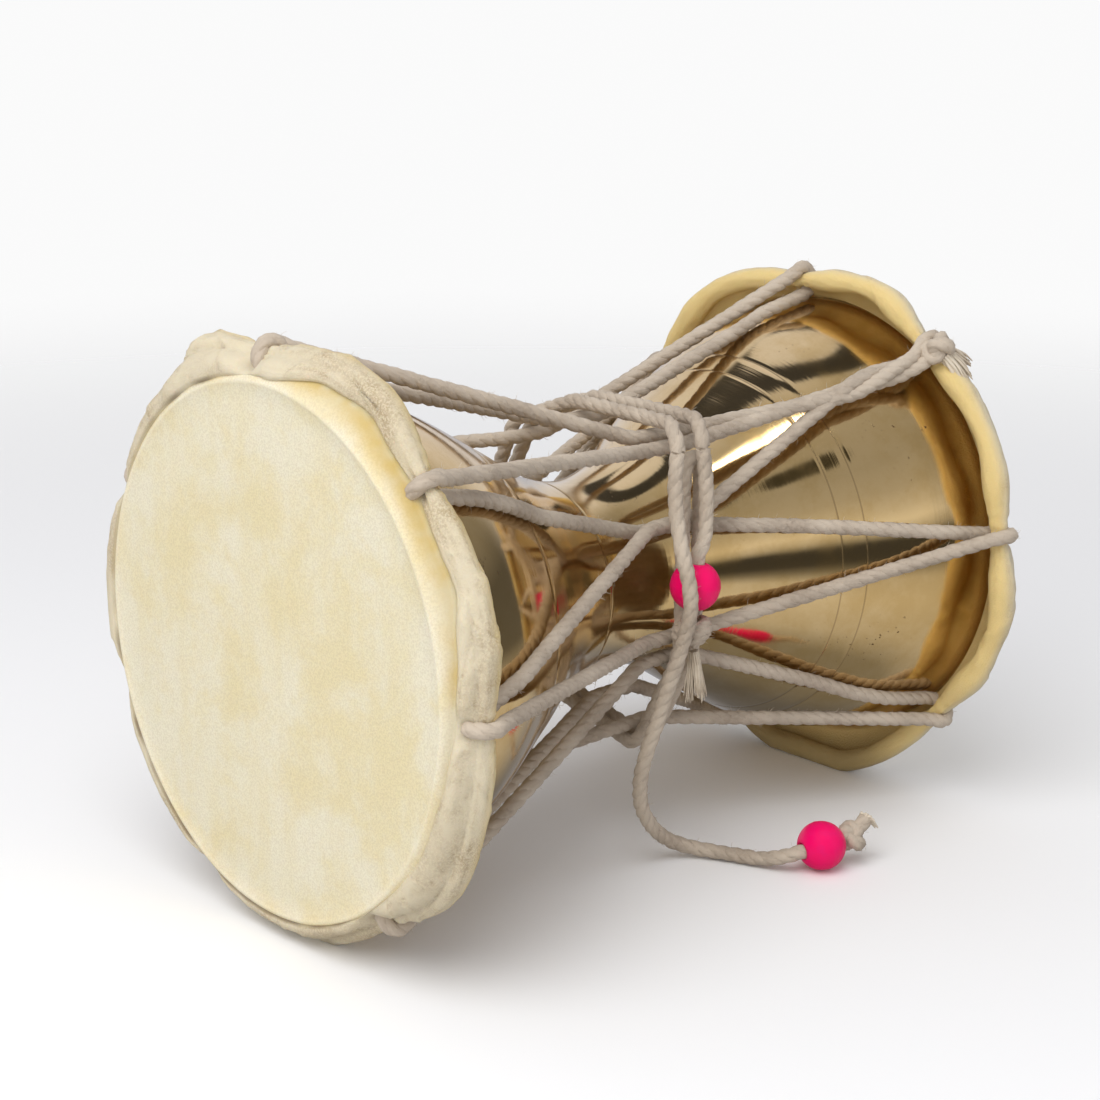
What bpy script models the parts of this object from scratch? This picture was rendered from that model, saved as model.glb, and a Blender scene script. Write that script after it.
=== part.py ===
"""Damaru: a hand drum with an hourglass shell of spun brass and a goat skin on each end.

The drum lies on its side. X runs along its axis from the near head to the far head, Z is up and the
origin is on the surface it lies on, in the middle of the drum. Angles round the axis start at the top
and grow towards the front, which is -Y. "Side" is the distance from the axis to the front, "up" the
height over the axis. All sizes are in metres.
"""
import math

import bmesh
import bpy
from mathutils import Vector

# Shell
SHELL_LENGTH = 0.1895
RIM_RADIUS = 0.0600
WAIST_RADIUS = 0.0238
SHELL_WALL = 0.0010
SHELL_SIDES = 40
SHELL_STATIONS = (0.0, 0.11, 0.23, 0.36, 0.51, 0.68, 0.86, 1.0)
SLOPE_STEPS = 1000
# Pairs: share of the way from waist to rim, share of the rise in radius there
BOWL_CURVE = ((0.0, 0.0), (0.21, 0.125), (0.42, 0.44), (0.69, 0.82), (0.92, 0.965), (1.0, 1.0))

# Skins
SKIN = 0.0009
FIT_GAP = 0.0003
# Edge of the skin round the rim, outside and inside. Pairs: height over the shell's rim, distance out
# from its side
SKIN_EDGE = ((FIT_GAP + SKIN, -SKIN), (FIT_GAP + 0.4 * SKIN, FIT_GAP + 0.75 * SKIN),
             (-0.5 * SKIN, FIT_GAP + 1.15 * SKIN))
SKIN_INSIDE = ((-1.3 * SKIN, 1.3 * FIT_GAP), (FIT_GAP, FIT_GAP))
HOOP_OVERHANG = 0.0055
HOOP_RADIUS = RIM_RADIUS + HOOP_OVERHANG
HOOP_SETBACK = 0.0072
ROLL_RADIUS = 0.0032
ROLL_SQUEEZE = 0.0012
SQUEEZE_ANGLE = math.radians(9.0)
ROLL_ANGLES = (-37.6, 5.0, 48.0, 90.0, 132.0, 175.0, 218.0, 260.0, 298.0)
SECTION_ANGLE = math.radians(10.5)
# The drum lies on flats of both rolls, this deep under its axis. The share is of the roll's radius that
# stays under its middle line there.
REST_DEPTH = HOOP_RADIUS + ROLL_RADIUS + 0.0007
REST_SHARE = math.sin(math.radians(ROLL_ANGLES[2]))

# Places round the axis, in degrees: the laced holes, and the corners of the hoop with their bulge
NEAR_HOLES = (-5.5, 46.5, 92.5, 147.5, 203.0, 250.0, 295.5)
FAR_HOLES = (-3.5, 36.0, 83.5, 132.5, 202.0, 250.0, 302.0)
NEAR_CORNERS = ((-23.5, 0.0028), (27.0, 0.0034), (72.0, 0.0020), (130.0, 0.0028), (176.0, 0.0028),
                (226.0, 0.0022), (272.0, 0.0026), (322.0, 0.0020))
FAR_CORNERS = ((20.0, 0.0030), (60.0, 0.0018), (106.0, 0.0030), (172.5, 0.0038), (226.0, 0.0024),
               (276.0, 0.0022), (328.0, 0.0028))

# Cords
CORD_RADIUS = 0.00195
CORD_ROUNDNESS = 2
CORD_GAP = 0.0006
SHELL_CLEARANCE = 0.0005
TURN_ANGLES = (112.0, 80.0, 45.0, 10.0, -25.0, -54.0, -78.0)
SHOULDER_SHARES = (0.10, 0.22, 0.36, 0.52, 0.70)

# The winding round the lacing at the waist: its place along the axis, the two courses, the places on
# both sides of it where the lacing dips under it, and the corner where its ends leave it
BAND_X = 0.0075
BAND_COURSE = CORD_RADIUS + 0.00035
UNDER_BAND = {-1: 0.0095, 1: 0.0046}
BAND_GAP = 0.0007
BAND_SPREAD = 0.0020
BAND_BEND = math.radians(40.0)
STRAIGHT_OUT = 0.0018
CORNER_BENDS = ((0.0014, 0.0040), (0.0042, 0.0054), (0.0076, 0.0060))
CORNER_SHIFT = 0.6
TOP_BEND_SIDE = 0.0200
BIGHT_UP = 0.0330

# Knots at the two ends of the lacing
KNOT_SIZE = (0.0050, 0.0044, 0.0040)
KNOT_SIDES = 10
KNOT_RINGS = 7
START_ANGLE = math.radians(FAR_HOLES[1] + 4.0)
START_KNOT_LIFT = 0.0027
END_KNOT_SETBACK = 0.0165
END_KNOT_RADIUS = HOOP_RADIUS - 0.0039

# The lacing in its order: head, hole, whether the cord comes over the hoop, and where the run that
# leaves it passes under the waist band, as up and side
LACING = (
    ("far", 1, False, (0.0362, 0.0262)),
    ("near", 1, True, (0.0154, 0.0236)),
    ("far", 2, False, (-0.0115, 0.0276)),
    ("near", 2, True, (0.0174, 0.0281)),
    ("far", 1, False, (0.0384, 0.0218)),
    ("near", 0, True, (0.0385, -0.0040)),
    ("far", 0, False, (0.0310, -0.0240)),
    ("near", 6, True, (0.0155, -0.0315)),
    ("far", 6, False, (0.0020, -0.0330)),
    ("near", 5, True, (-0.0125, -0.0320)),
    ("far", 5, False, (-0.0270, -0.0240)),
    ("near", 4, False, (-0.0370, 0.0150)),
    ("far", 3, True, (-0.0170, 0.0260)),
    ("near", 3, True, (-0.0300, 0.0090)),
    ("far", 4, True, None),
)

# Striker cords up to their beads, as along, side and up from the middle of the drum's axis. The last
# spot is the bead's middle, and the thread is the direction of its bore.
SHORT_CORD = ((0.0062, 0.0372, 0.0376), (0.0068, 0.0374, 0.0330), (0.0071, 0.0377, 0.0280),
              (0.0066, 0.0384, 0.0215), (0.0052, 0.0393, 0.0160), (0.0016, 0.0401, 0.0050))
SHORT_THREAD = (-0.10, 0.02, -1.0)
LONG_CORD = ((-0.0019, 0.0366, 0.0373), (-0.0026, 0.0370, 0.0340), (-0.0034, 0.0376, 0.0300),
             (-0.0046, 0.0396, 0.0220), (-0.0052, 0.0424, 0.0140), (-0.0054, 0.0450, 0.0070),
             (-0.0056, 0.0456, 0.0010), (-0.0058, 0.0442, -0.0050), (-0.0060, 0.0420, -0.0120),
             (-0.0062, 0.0394, -0.0190), (-0.0070, 0.0370, -0.0275), (-0.0082, 0.0350, -0.0350),
             (-0.0088, 0.0332, -0.0430), (-0.0066, 0.0312, -0.0510), (-0.0018, 0.0300, -0.0582),
             (0.0046, 0.0302, -0.0640), (0.0108, 0.0338, -0.0668), (0.0154, 0.0412, -0.0673),
             (0.0184, 0.0490, -0.0670), (0.0204, 0.0542, -0.0655), (0.0288, 0.0596, -0.0631))
LONG_THREAD = (0.94, 0.31, 0.12)
CORD_STEP = 0.0060
CURVE_STEPS = 12

# Beads
BEAD_RADIUS = 0.00615
BORE_RADIUS = CORD_RADIUS + 0.00045
BEAD_STEPS = 7
BEAD_SIDES = 14
# Knot and frayed tail, as pairs: share of the knot's length along the cord, radius
STRIKER_KNOT = ((0.0, 0.0016), (0.05, 0.0032), (0.16, 0.0043), (0.30, 0.0038), (0.42, 0.0024),
                (0.62, 0.0027), (0.86, 0.0034), (1.0, 0.0038))
SHORT_KNOT_LENGTH = 0.0205
LONG_KNOT_LENGTH = 0.0150

HALF_LENGTH = SHELL_LENGTH / 2


def at(along, side, up):
    """A point from its place along the axis, its distance to the front and its height."""
    return Vector((along, -side, up))


def round_axis(along, radius, angle):
    """A point from its place along the axis, its radius and its angle from the top."""
    return at(along, radius * math.sin(angle), radius * math.cos(angle))


def smooth_through(pairs, value):
    """The height at value of a smooth curve through pairs, level at the first one."""
    slopes = [0.0]
    for before, after in zip(pairs, pairs[2:]):
        slopes.append((after[1] - before[1]) / (after[0] - before[0]))
    slopes.append((pairs[-1][1] - pairs[-2][1]) / (pairs[-1][0] - pairs[-2][0]))
    last = len(pairs) - 2
    part = next((i for i in range(last) if value < pairs[i + 1][0]), last)
    (x0, y0), (x1, y1) = pairs[part], pairs[part + 1]
    width = x1 - x0
    t = (value - x0) / width
    start = (1 + 2 * t) * (1 - t) ** 2 * y0 + t * (1 - t) ** 2 * width * slopes[part]
    end = t * t * (3 - 2 * t) * y1 + t * t * (t - 1) * width * slopes[part + 1]
    return start + end


def shell_radius(along):
    """The shell's outer radius at a place along the axis."""
    share = min(1.0, abs(along) / HALF_LENGTH)
    return WAIST_RADIUS + (RIM_RADIUS - WAIST_RADIUS) * smooth_through(BOWL_CURVE, share)


def turn(degrees):
    """The difference between two angles in degrees, from -180 to 180."""
    return (degrees + 180.0) % 360.0 - 180.0


class Hoop:
    """The rolled edge of one skin: where it is laced, where it bulges and which end it is on."""

    def __init__(self, end, holes, corners):
        self.end = end
        self.holes = holes
        self.corners = corners

    def along(self, height):
        """The place along the axis that is this far out from the shell's rim."""
        return self.end * (HALF_LENGTH + height)

    def bulge(self, degrees):
        """How far the hoop stands out beyond its radius at the holes."""
        keys = sorted([(turn(a), 0.0) for a in self.holes] + [(turn(a), b) for a, b in self.corners])
        keys = [(keys[-1][0] - 360.0, keys[-1][1])] + keys + [(keys[0][0] + 360.0, keys[0][1])]
        here = turn(degrees)
        for (a0, b0), (a1, b1) in zip(keys, keys[1:]):
            if a0 <= here <= a1:
                blend = (1 - math.cos(math.pi * (here - a0) / (a1 - a0))) / 2
                return b0 + (b1 - b0) * blend
        return 0.0

    def roll(self, degrees):
        """The roll's own radius, a little less where the cord squeezes it."""
        nearest = min(abs(math.radians(turn(degrees - a))) for a in self.holes)
        return ROLL_RADIUS - ROLL_SQUEEZE * max(0.0, 1.0 - nearest / SQUEEZE_ANGLE)

    def radius(self, degrees):
        """The radius of the roll's middle line, pressed up where the drum rests on it."""
        free = HOOP_RADIUS + self.bulge(degrees)
        down = -math.cos(math.radians(degrees))
        if down <= 0.0:
            return free
        return min(free, REST_DEPTH / down - self.roll(degrees) * REST_SHARE)

    def spot(self, degrees, around, distance):
        """A point at a distance from the roll's middle line. Around is 0 at the roll's outer face."""
        swing = math.radians(around)
        height = distance * math.cos(swing) - HOOP_SETBACK
        radius = self.radius(degrees) + distance * math.sin(swing)
        point = round_axis(self.along(height), radius, math.radians(degrees))
        point.z = max(point.z, -REST_DEPTH)
        return point


HOOPS = {"near": Hoop(-1, NEAR_HOLES, NEAR_CORNERS), "far": Hoop(1, FAR_HOLES, FAR_CORNERS)}


def material(name, colour, roughness, metallic):
    """A plain surface with one colour."""
    made = bpy.data.materials.new(name)
    made.use_nodes = True
    shader = made.node_tree.nodes["Principled BSDF"]
    shader.inputs["Base Color"].default_value = (*colour, 1.0)
    shader.inputs["Roughness"].default_value = roughness
    shader.inputs["Metallic"].default_value = metallic
    return made


def add_object(name, data, surface, parent):
    """An object of this mesh or curve, hung on its parent."""
    made = bpy.data.objects.new(name, data)
    bpy.context.collection.objects.link(made)
    data.materials.append(surface)
    made.parent = parent
    return made


def finished(mesh_name, bm, sharp_degrees=35.0):
    """The mesh of bm with its faces turned outwards and shaded smooth."""
    bmesh.ops.recalc_face_normals(bm, faces=bm.faces)
    mesh = bpy.data.meshes.new(mesh_name)
    bm.to_mesh(mesh)
    bm.free()
    mesh.shade_smooth()
    mesh.set_sharp_from_angle(angle=math.radians(sharp_degrees))
    return mesh


def ring_faces(bm, one, other):
    """The faces between two closed rings of as many points."""
    for i, corner in enumerate(one):
        j = (i + 1) % len(one)
        bm.faces.new((corner, one[j], other[j], other[i]))


def shell_mesh():
    """The hourglass: the outer wall, the inner wall and the two rims between them."""
    shares = [-s for s in reversed(SHELL_STATIONS[1:])] + list(SHELL_STATIONS)
    outline = [(s * HALF_LENGTH, shell_radius(s * HALF_LENGTH)) for s in shares]
    step = SHELL_LENGTH / SLOPE_STEPS
    inner = []
    for along, radius in outline:
        inside = max(-HALF_LENGTH + step, min(HALF_LENGTH - step, along))
        slope = (shell_radius(inside + step) - shell_radius(inside - step)) / (2 * step)
        inner.append((along, radius - SHELL_WALL * math.hypot(1.0, slope)))
    bm = bmesh.new()
    rings = []
    for along, radius in outline + inner[::-1]:
        angles = [2 * math.pi * k / SHELL_SIDES for k in range(SHELL_SIDES)]
        rings.append([bm.verts.new(round_axis(along, radius, a)) for a in angles])
    for ring, following in zip(rings, rings[1:] + rings[:1]):
        ring_faces(bm, ring, following)
    return finished("brass_shell", bm)


def section_angles(hoop):
    """The angles of the skin's cross sections: both edges of each hole, and even steps between."""
    half_hole = math.degrees((CORD_RADIUS + 2 * CORD_GAP) / RIM_RADIUS)
    middles = sorted(a % 360.0 for a in hoop.holes)
    angles = []
    holes = []
    for here, following in zip(middles, middles[1:] + [middles[0] + 360.0]):
        holes.append(len(angles))
        start = here + half_hole
        end = following - half_hole
        steps = max(2, round(math.radians(end - start) / SECTION_ANGLE))
        angles.append(here - half_hole)
        angles += [start + (end - start) * k / steps for k in range(steps)]
    return angles, holes


def skin_section(hoop, degrees):
    """One cross section of a skin, from the flat front over the roll to the back."""
    angle = math.radians(degrees)
    points = [round_axis(hoop.along(h), RIM_RADIUS + out, angle) for h, out in SKIN_EDGE]
    points += [hoop.spot(degrees, around, hoop.roll(degrees)) for around in ROLL_ANGLES]
    points += [round_axis(hoop.along(h), RIM_RADIUS + out, angle) for h, out in SKIN_INSIDE]
    return points


def skin_mesh(name, hoop):
    """A drumhead: the flat skin, its collar with the laced holes, and the roll round it."""
    collar_front = len(SKIN_EDGE) - 1
    collar_back = collar_front + len(ROLL_ANGLES)
    angles, holes = section_angles(hoop)
    bm = bmesh.new()
    rings = [[bm.verts.new(p) for p in skin_section(hoop, degrees)] for degrees in angles]
    front = bm.verts.new((hoop.along(FIT_GAP + SKIN), 0.0, 0.0))
    back = bm.verts.new((hoop.along(FIT_GAP), 0.0, 0.0))
    for i, ring in enumerate(rings):
        after = rings[(i + 1) % len(rings)]
        bm.faces.new((front, ring[0], after[0]))
        bm.faces.new((back, after[-1], ring[-1]))
        for k in range(len(ring) - 1):
            if i in holes and k in (collar_front, collar_back):
                continue
            bm.faces.new((ring[k], ring[k + 1], after[k + 1], after[k]))
        if i in holes:
            corners = (collar_front, collar_front + 1, collar_back, collar_back + 1)
            bm.faces.new([ring[k] for k in corners])
            bm.faces.new([after[k] for k in reversed(corners)])
            bm.faces.new((ring[corners[0]], ring[corners[3]], after[corners[3]], after[corners[0]]))
            bm.faces.new((ring[corners[1]], after[corners[1]], after[corners[2]], ring[corners[2]]))
    return finished(name, bm)


def hoop_turn(head, hole, comes_over):
    """The points of a cord round the roll, through the hole, from over the hoop or from inside."""
    hoop = HOOPS[head]
    degrees = hoop.holes[hole]
    distance = hoop.roll(degrees) + CORD_RADIUS + CORD_GAP
    points = [hoop.spot(degrees, around, distance) for around in TURN_ANGLES]
    return points if comes_over else points[::-1]


def over_shell(point):
    """The point itself, or the one straight out from it where a cord clears the shell."""
    side_on = Vector((0.0, point.y, point.z))
    clear = shell_radius(point.x) + CORD_RADIUS + SHELL_CLEARANCE
    if side_on.length >= clear:
        return None
    side_on *= clear / side_on.length
    return Vector((point.x, side_on.y, side_on.z))


def run_points(start, end):
    """The places between start and end where the shell pushes a cord outwards."""
    found = [over_shell(start.lerp(end, share)) for share in SHOULDER_SHARES]
    return [point for point in found if point is not None]


def lacing_points():
    """The whole lacing, from the knot on the far hoop to the knot behind it."""
    turns = [hoop_turn(*stop[:3]) for stop in LACING]
    first = turns[0][-1]
    lifted = math.hypot(first.y, first.z) + START_KNOT_LIFT
    turns[0] = [round_axis(first.x, lifted, START_ANGLE)]
    points = []
    for stop, here, arriving in zip(LACING, turns, turns[1:]):
        end = HOOPS[stop[0]].end
        up, side = stop[3]
        under = [at(BAND_X + way * UNDER_BAND[way], side, up) for way in (end, -end)]
        points += here + run_points(here[-1], under[0]) + under
        points += run_points(arriving[0], under[1])[::-1]
    last = turns[-1][-1]
    angle = math.atan2(-last.y, last.z)
    behind = HOOPS[LACING[-1][0]].along(-END_KNOT_SETBACK)
    return points + turns[-1] + [round_axis(behind, END_KNOT_RADIUS, angle)]


def cord_curve(name, points, surface, parent):
    """A round cord through points, with closed ends."""
    curve = bpy.data.curves.new(name, "CURVE")
    curve.dimensions = "3D"
    curve.bevel_depth = CORD_RADIUS
    curve.bevel_resolution = CORD_ROUNDNESS
    curve.use_fill_caps = True
    spline = curve.splines.new("POLY")
    spline.points.add(len(points) - 1)
    for spot, point in zip(spline.points, points):
        spot.co = (*point, 1.0)
    return add_object(name, curve, surface, parent)


def smooth_route(points):
    """Points at even steps along a smooth curve through the chosen points."""
    ends = [2 * points[0] - points[1]] + list(points) + [2 * points[-1] - points[-2]]
    fine = [points[0]]
    for p0, p1, p2, p3 in zip(ends, ends[1:], ends[2:], ends[3:]):
        for k in range(CURVE_STEPS):
            t = (k + 1) / CURVE_STEPS
            cubic = (2 * p1 + (p2 - p0) * t + (2 * p0 - 5 * p1 + 4 * p2 - p3) * t * t
                     + (3 * p1 - p0 - 3 * p2 + p3) * t ** 3)
            fine.append(cubic / 2)
    lengths = [0.0]
    for a, b in zip(fine, fine[1:]):
        lengths.append(lengths[-1] + (b - a).length)
    count = max(2, round(lengths[-1] / CORD_STEP))
    route = []
    for k in range(count + 1):
        goal = lengths[-1] * k / count
        i = max(1, next((n for n, total in enumerate(lengths) if total >= goal), len(fine) - 1))
        share = (goal - lengths[i - 1]) / (lengths[i] - lengths[i - 1])
        route.append(fine[i - 1].lerp(fine[i], min(1.0, share)))
    return route


def hull(spots):
    """The convex outline of (side, up) spots, anticlockwise."""
    spots = sorted(set(spots))
    chains = []
    for order in (spots, spots[::-1]):
        chain = []
        for spot in order:
            while len(chain) > 1:
                (ax, ay), (bx, by) = chain[-2], chain[-1]
                if (bx - ax) * (spot[1] - ay) - (by - ay) * (spot[0] - ax) > 0:
                    break
                chain.pop()
            chain.append(spot)
        chains.append(chain[:-1])
    return chains[0] + chains[1]


def band_outline():
    """The winding's middle line round the lacing, as (side, up), from the front corner over the top."""
    corners = hull([(side, up) for up, side in (stop[3] for stop in LACING[:-1])])
    reach = 2 * CORD_RADIUS + BAND_GAP
    outline = []
    for before, here, after in zip(corners[-1:] + corners[:-1], corners, corners[1:] + corners[:1]):
        start = math.atan2(before[0] - here[0], here[1] - before[1])
        end = math.atan2(here[0] - after[0], after[1] - here[1])
        sweep = (end - start) % (2 * math.pi)
        steps = max(1, math.ceil(sweep / BAND_BEND))
        for k in range(steps + 1):
            angle = start + sweep * k / steps
            outline.append((here[0] + reach * math.cos(angle), here[1] + reach * math.sin(angle)))
    return outline


def band_along(end, up):
    """Where one course of the winding lies along the axis. The two part a little over the top."""
    return BAND_X + end * (BAND_COURSE + BAND_SPREAD * max(0.0, up) / RIM_RADIUS)


def waist_points():
    """The doubled winding: over the top, round below and up the front, and the same way back."""
    outline = band_outline()
    first = max(range(len(outline)), key=lambda i: outline[i][0] + outline[i][1])
    outline = outline[first:] + outline[:first]
    top_end = next(i for i, (side, up) in enumerate(outline) if side < TOP_BEND_SIDE)
    loop = [spot for spot in outline[top_end:] if spot[0] <= 0 or spot[1] <= BIGHT_UP]
    front = loop[-1][0]
    courses = []
    for end, free in ((1, SHORT_CORD), (-1, LONG_CORD)):
        leaves = at(*free[0])
        away = (leaves - at(*free[1])).normalized()
        course = [at(band_along(end, up), side, up) for side, up in loop]
        course.append(at(band_along(end, 0.0), front, BIGHT_UP))
        bends = [leaves + away * distance for distance in (FIT_GAP, STRAIGHT_OUT)]
        for back, rise in CORNER_BENDS:
            share = back / CORNER_BENDS[-1][0] * CORNER_SHIFT
            along = leaves.x + (course[0].x - leaves.x) * share
            bends.append(Vector((along, leaves.y + back, leaves.z + rise)))
        courses.append(bends + course)
    return courses[0] + courses[1][::-1]


def frame_along(direction):
    """Two directions square to each other and to the given one."""
    first = direction.orthogonal().normalized()
    return first, direction.cross(first).normalized()


def turned_mesh(name, centre, direction, profile, sides, closed):
    """A turned body on an axis. The profile is (distance, radius), and closed joins its two ends."""
    first, second = frame_along(direction)
    bm = bmesh.new()
    rings = []
    for distance, radius in profile:
        middle = centre + direction * distance
        ring = []
        for k in range(sides):
            angle = 2 * math.pi * k / sides
            ring.append(bm.verts.new(middle + radius * (first * math.cos(angle) + second * math.sin(angle))))
        rings.append(ring)
    for ring, following in zip(rings, rings[1:]):
        ring_faces(bm, ring, following)
    if closed:
        ring_faces(bm, rings[-1], rings[0])
    else:
        bm.faces.new(rings[0])
        bm.faces.new(rings[-1])
    return finished(name, bm)


def bead_profile():
    """The bead's outline from one end of its bore to the other, and back through the bore."""
    edge = math.asin(BORE_RADIUS / BEAD_RADIUS)
    angles = [edge + (math.pi - 2 * edge) * k / BEAD_STEPS for k in range(BEAD_STEPS + 1)]
    return [(-BEAD_RADIUS * math.cos(a), BEAD_RADIUS * math.sin(a)) for a in angles]


def striker(name, chosen, thread, knot_length, surfaces, parent):
    """A free cord with the bead it passes through and the knot that holds the bead."""
    points = [at(*spot) for spot in chosen]
    middle = points.pop()
    direction = at(*thread).normalized()
    through = BEAD_RADIUS + CORD_GAP
    points += [middle + direction * through * share for share in (-1.0, -0.5, 0.0, 0.5, 1.0)]
    cord_curve(f"striker_cord_{name}", smooth_route(points), surfaces["cord"], parent)
    bead = turned_mesh(f"striker_bead_{name}", middle, direction, bead_profile(), BEAD_SIDES, True)
    add_object(bead.name, bead, surfaces["bead"], parent)
    start = points[-1] + direction * FIT_GAP
    profile = [(share * knot_length, radius) for share, radius in STRIKER_KNOT]
    knot = turned_mesh(f"striker_knot_{name}", start, direction, profile, KNOT_SIDES, False)
    add_object(knot.name, knot, surfaces["cord"], parent)


def knot_lump(name, centre, outward, parent, surface):
    """A rounded lump that is joined to the lacing."""
    bm = bmesh.new()
    bmesh.ops.create_uvsphere(bm, u_segments=KNOT_SIDES, v_segments=KNOT_RINGS, radius=1.0)
    turned = outward.to_track_quat("Z", "X").to_matrix()
    for vert in bm.verts:
        vert.co = centre + turned @ Vector(size * part for size, part in zip(KNOT_SIZE, vert.co))
    lump = add_object(name, finished(name, bm), surface, parent)
    lump.hide_render = True
    lump.display_type = "WIRE"
    return lump


def lacing(surface, parent):
    """The laced cord, with the knots at its two ends joined to it."""
    points = lacing_points()
    guide = cord_curve("lacing_route", points, surface, parent)
    bpy.context.view_layer.update()
    evaluated = guide.evaluated_get(bpy.context.evaluated_depsgraph_get())
    mesh = bpy.data.meshes.new_from_object(evaluated)
    bpy.data.objects.remove(guide)
    mesh.name = "lacing_cord"
    made = add_object("lacing_cord", mesh, surface, parent)
    for name, middle in (("start", points[0]), ("end", points[-1])):
        outward = Vector((0.0, middle.y, middle.z)).normalized()
        lump = knot_lump(f"knot_{name}", middle, outward, parent, surface)
        union = made.modifiers.new(name, "BOOLEAN")
        union.operation = "UNION"
        union.object = lump
    return made


def footprint_middle(parts):
    """The middle of the box round these objects, along X and Y."""
    bpy.context.view_layer.update()
    depsgraph = bpy.context.evaluated_depsgraph_get()
    spots = []
    for part in parts:
        shape = part.evaluated_get(depsgraph)
        spots += [shape.matrix_world @ vert.co for vert in shape.to_mesh().vertices]
        shape.to_mesh_clear()
    return [(min(s[i] for s in spots) + max(s[i] for s in spots)) / 2 for i in (0, 1)]


def main():
    """Build the drum, then set it on the surface with its footprint in the middle."""
    for old in list(bpy.data.objects):
        bpy.data.objects.remove(old, do_unlink=True)
    surfaces = {
        "brass": material("polished_brass", (0.80, 0.60, 0.28), 0.12, 1.0),
        "skin": material("goat_skin", (0.83, 0.72, 0.50), 0.60, 0.0),
        "cord": material("cotton_cord", (0.80, 0.77, 0.70), 0.90, 0.0),
        "bead": material("pink_plastic", (0.95, 0.01, 0.16), 0.25, 0.0),
    }
    axis = bpy.data.objects.new("drum_axis", None)
    bpy.context.collection.objects.link(axis)
    parts = [add_object("brass_shell", shell_mesh(), surfaces["brass"], axis)]
    for head, hoop in HOOPS.items():
        name = f"{head}_drumhead"
        parts.append(add_object(name, skin_mesh(name, hoop), surfaces["skin"], axis))
    parts.append(lacing(surfaces["cord"], axis))
    parts.append(cord_curve("waist_cord", waist_points(), surfaces["cord"], axis))
    middle = footprint_middle(parts)
    striker("short", SHORT_CORD, SHORT_THREAD, SHORT_KNOT_LENGTH, surfaces, axis)
    striker("long", LONG_CORD, LONG_THREAD, LONG_KNOT_LENGTH, surfaces, axis)
    axis.location = (-middle[0], -middle[1], REST_DEPTH)


main()
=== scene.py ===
"""The looks of a brass damaru: spun shell, laced goat skins, twisted cotton cord and pink beads.

Drum coordinates are used for every route: along the axis from its middle, out to the front and up.
"""

import logging
import math
from dataclasses import dataclass, field
from enum import Enum
from typing import Iterable, Sequence

import bmesh
import bpy
from mathutils import Matrix, Vector, noise


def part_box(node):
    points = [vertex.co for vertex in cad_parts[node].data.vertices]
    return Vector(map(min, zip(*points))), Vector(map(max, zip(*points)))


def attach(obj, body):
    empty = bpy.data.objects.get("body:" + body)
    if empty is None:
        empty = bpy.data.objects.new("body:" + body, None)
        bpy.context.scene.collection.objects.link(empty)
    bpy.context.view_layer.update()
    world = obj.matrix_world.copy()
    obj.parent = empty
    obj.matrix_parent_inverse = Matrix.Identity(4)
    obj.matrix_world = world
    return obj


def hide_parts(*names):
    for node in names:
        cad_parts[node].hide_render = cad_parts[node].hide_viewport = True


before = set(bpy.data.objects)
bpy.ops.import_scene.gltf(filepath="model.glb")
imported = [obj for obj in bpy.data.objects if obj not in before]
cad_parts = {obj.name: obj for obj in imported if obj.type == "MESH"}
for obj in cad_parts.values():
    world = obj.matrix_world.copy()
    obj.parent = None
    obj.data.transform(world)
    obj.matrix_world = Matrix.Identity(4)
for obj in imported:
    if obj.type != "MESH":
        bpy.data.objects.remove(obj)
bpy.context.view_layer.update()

LOG = logging.getLogger("damaru")
Route = list[Vector]
GOLDEN_ANGLE = 2.399963

SHELL_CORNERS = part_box("brass_shell")
AXIS_MIDDLE = (SHELL_CORNERS[0] + SHELL_CORNERS[1]) / 2


def at(along: float, side: float, up: float) -> Vector:
    """A point in drum coordinates, from its place along the axis, to the front and up."""
    return Vector((along, -side, up))


def round_axis(along: float, radius: float, angle: float) -> Vector:
    """A point from its place along the axis, its radius and its angle from the top."""
    return at(along, radius * math.sin(angle), radius * math.cos(angle))


def in_place(points: Iterable[Vector]) -> Route:
    """The points moved from drum coordinates to where the drum lies."""
    return [point + AXIS_MIDDLE for point in points]


def smoothstep(low: float, high: float, value: float) -> float:
    """A soft step from 0 at low to 1 at high."""
    t = min(1.0, max(0.0, (value - low) / (high - low)))
    return t * t * (3.0 - 2.0 * t)


def turn(degrees: float) -> float:
    """The same angle between -180 and 180 degrees."""
    return (degrees + 180.0) % 360.0 - 180.0


def even_route(points: Sequence[Vector], step: float) -> Route:
    """Points at even steps along straight lines through the given points.

    Args:
        points: The corners.
        step: The distance between the points of the result.

    Returns:
        The points, from the first corner to the last.
    """
    lengths = [0.0]
    for a, b in zip(points, points[1:]):
        lengths.append(lengths[-1] + (b - a).length)
    count = max(2, round(lengths[-1] / step))
    route, i = [], 1
    for k in range(count + 1):
        goal = lengths[-1] * k / count
        while i < len(points) - 1 and lengths[i] < goal:
            i += 1
        share = (goal - lengths[i - 1]) / max(1e-9, lengths[i] - lengths[i - 1])
        route.append(points[i - 1].lerp(points[i], min(1.0, max(0.0, share))))
    return route


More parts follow.
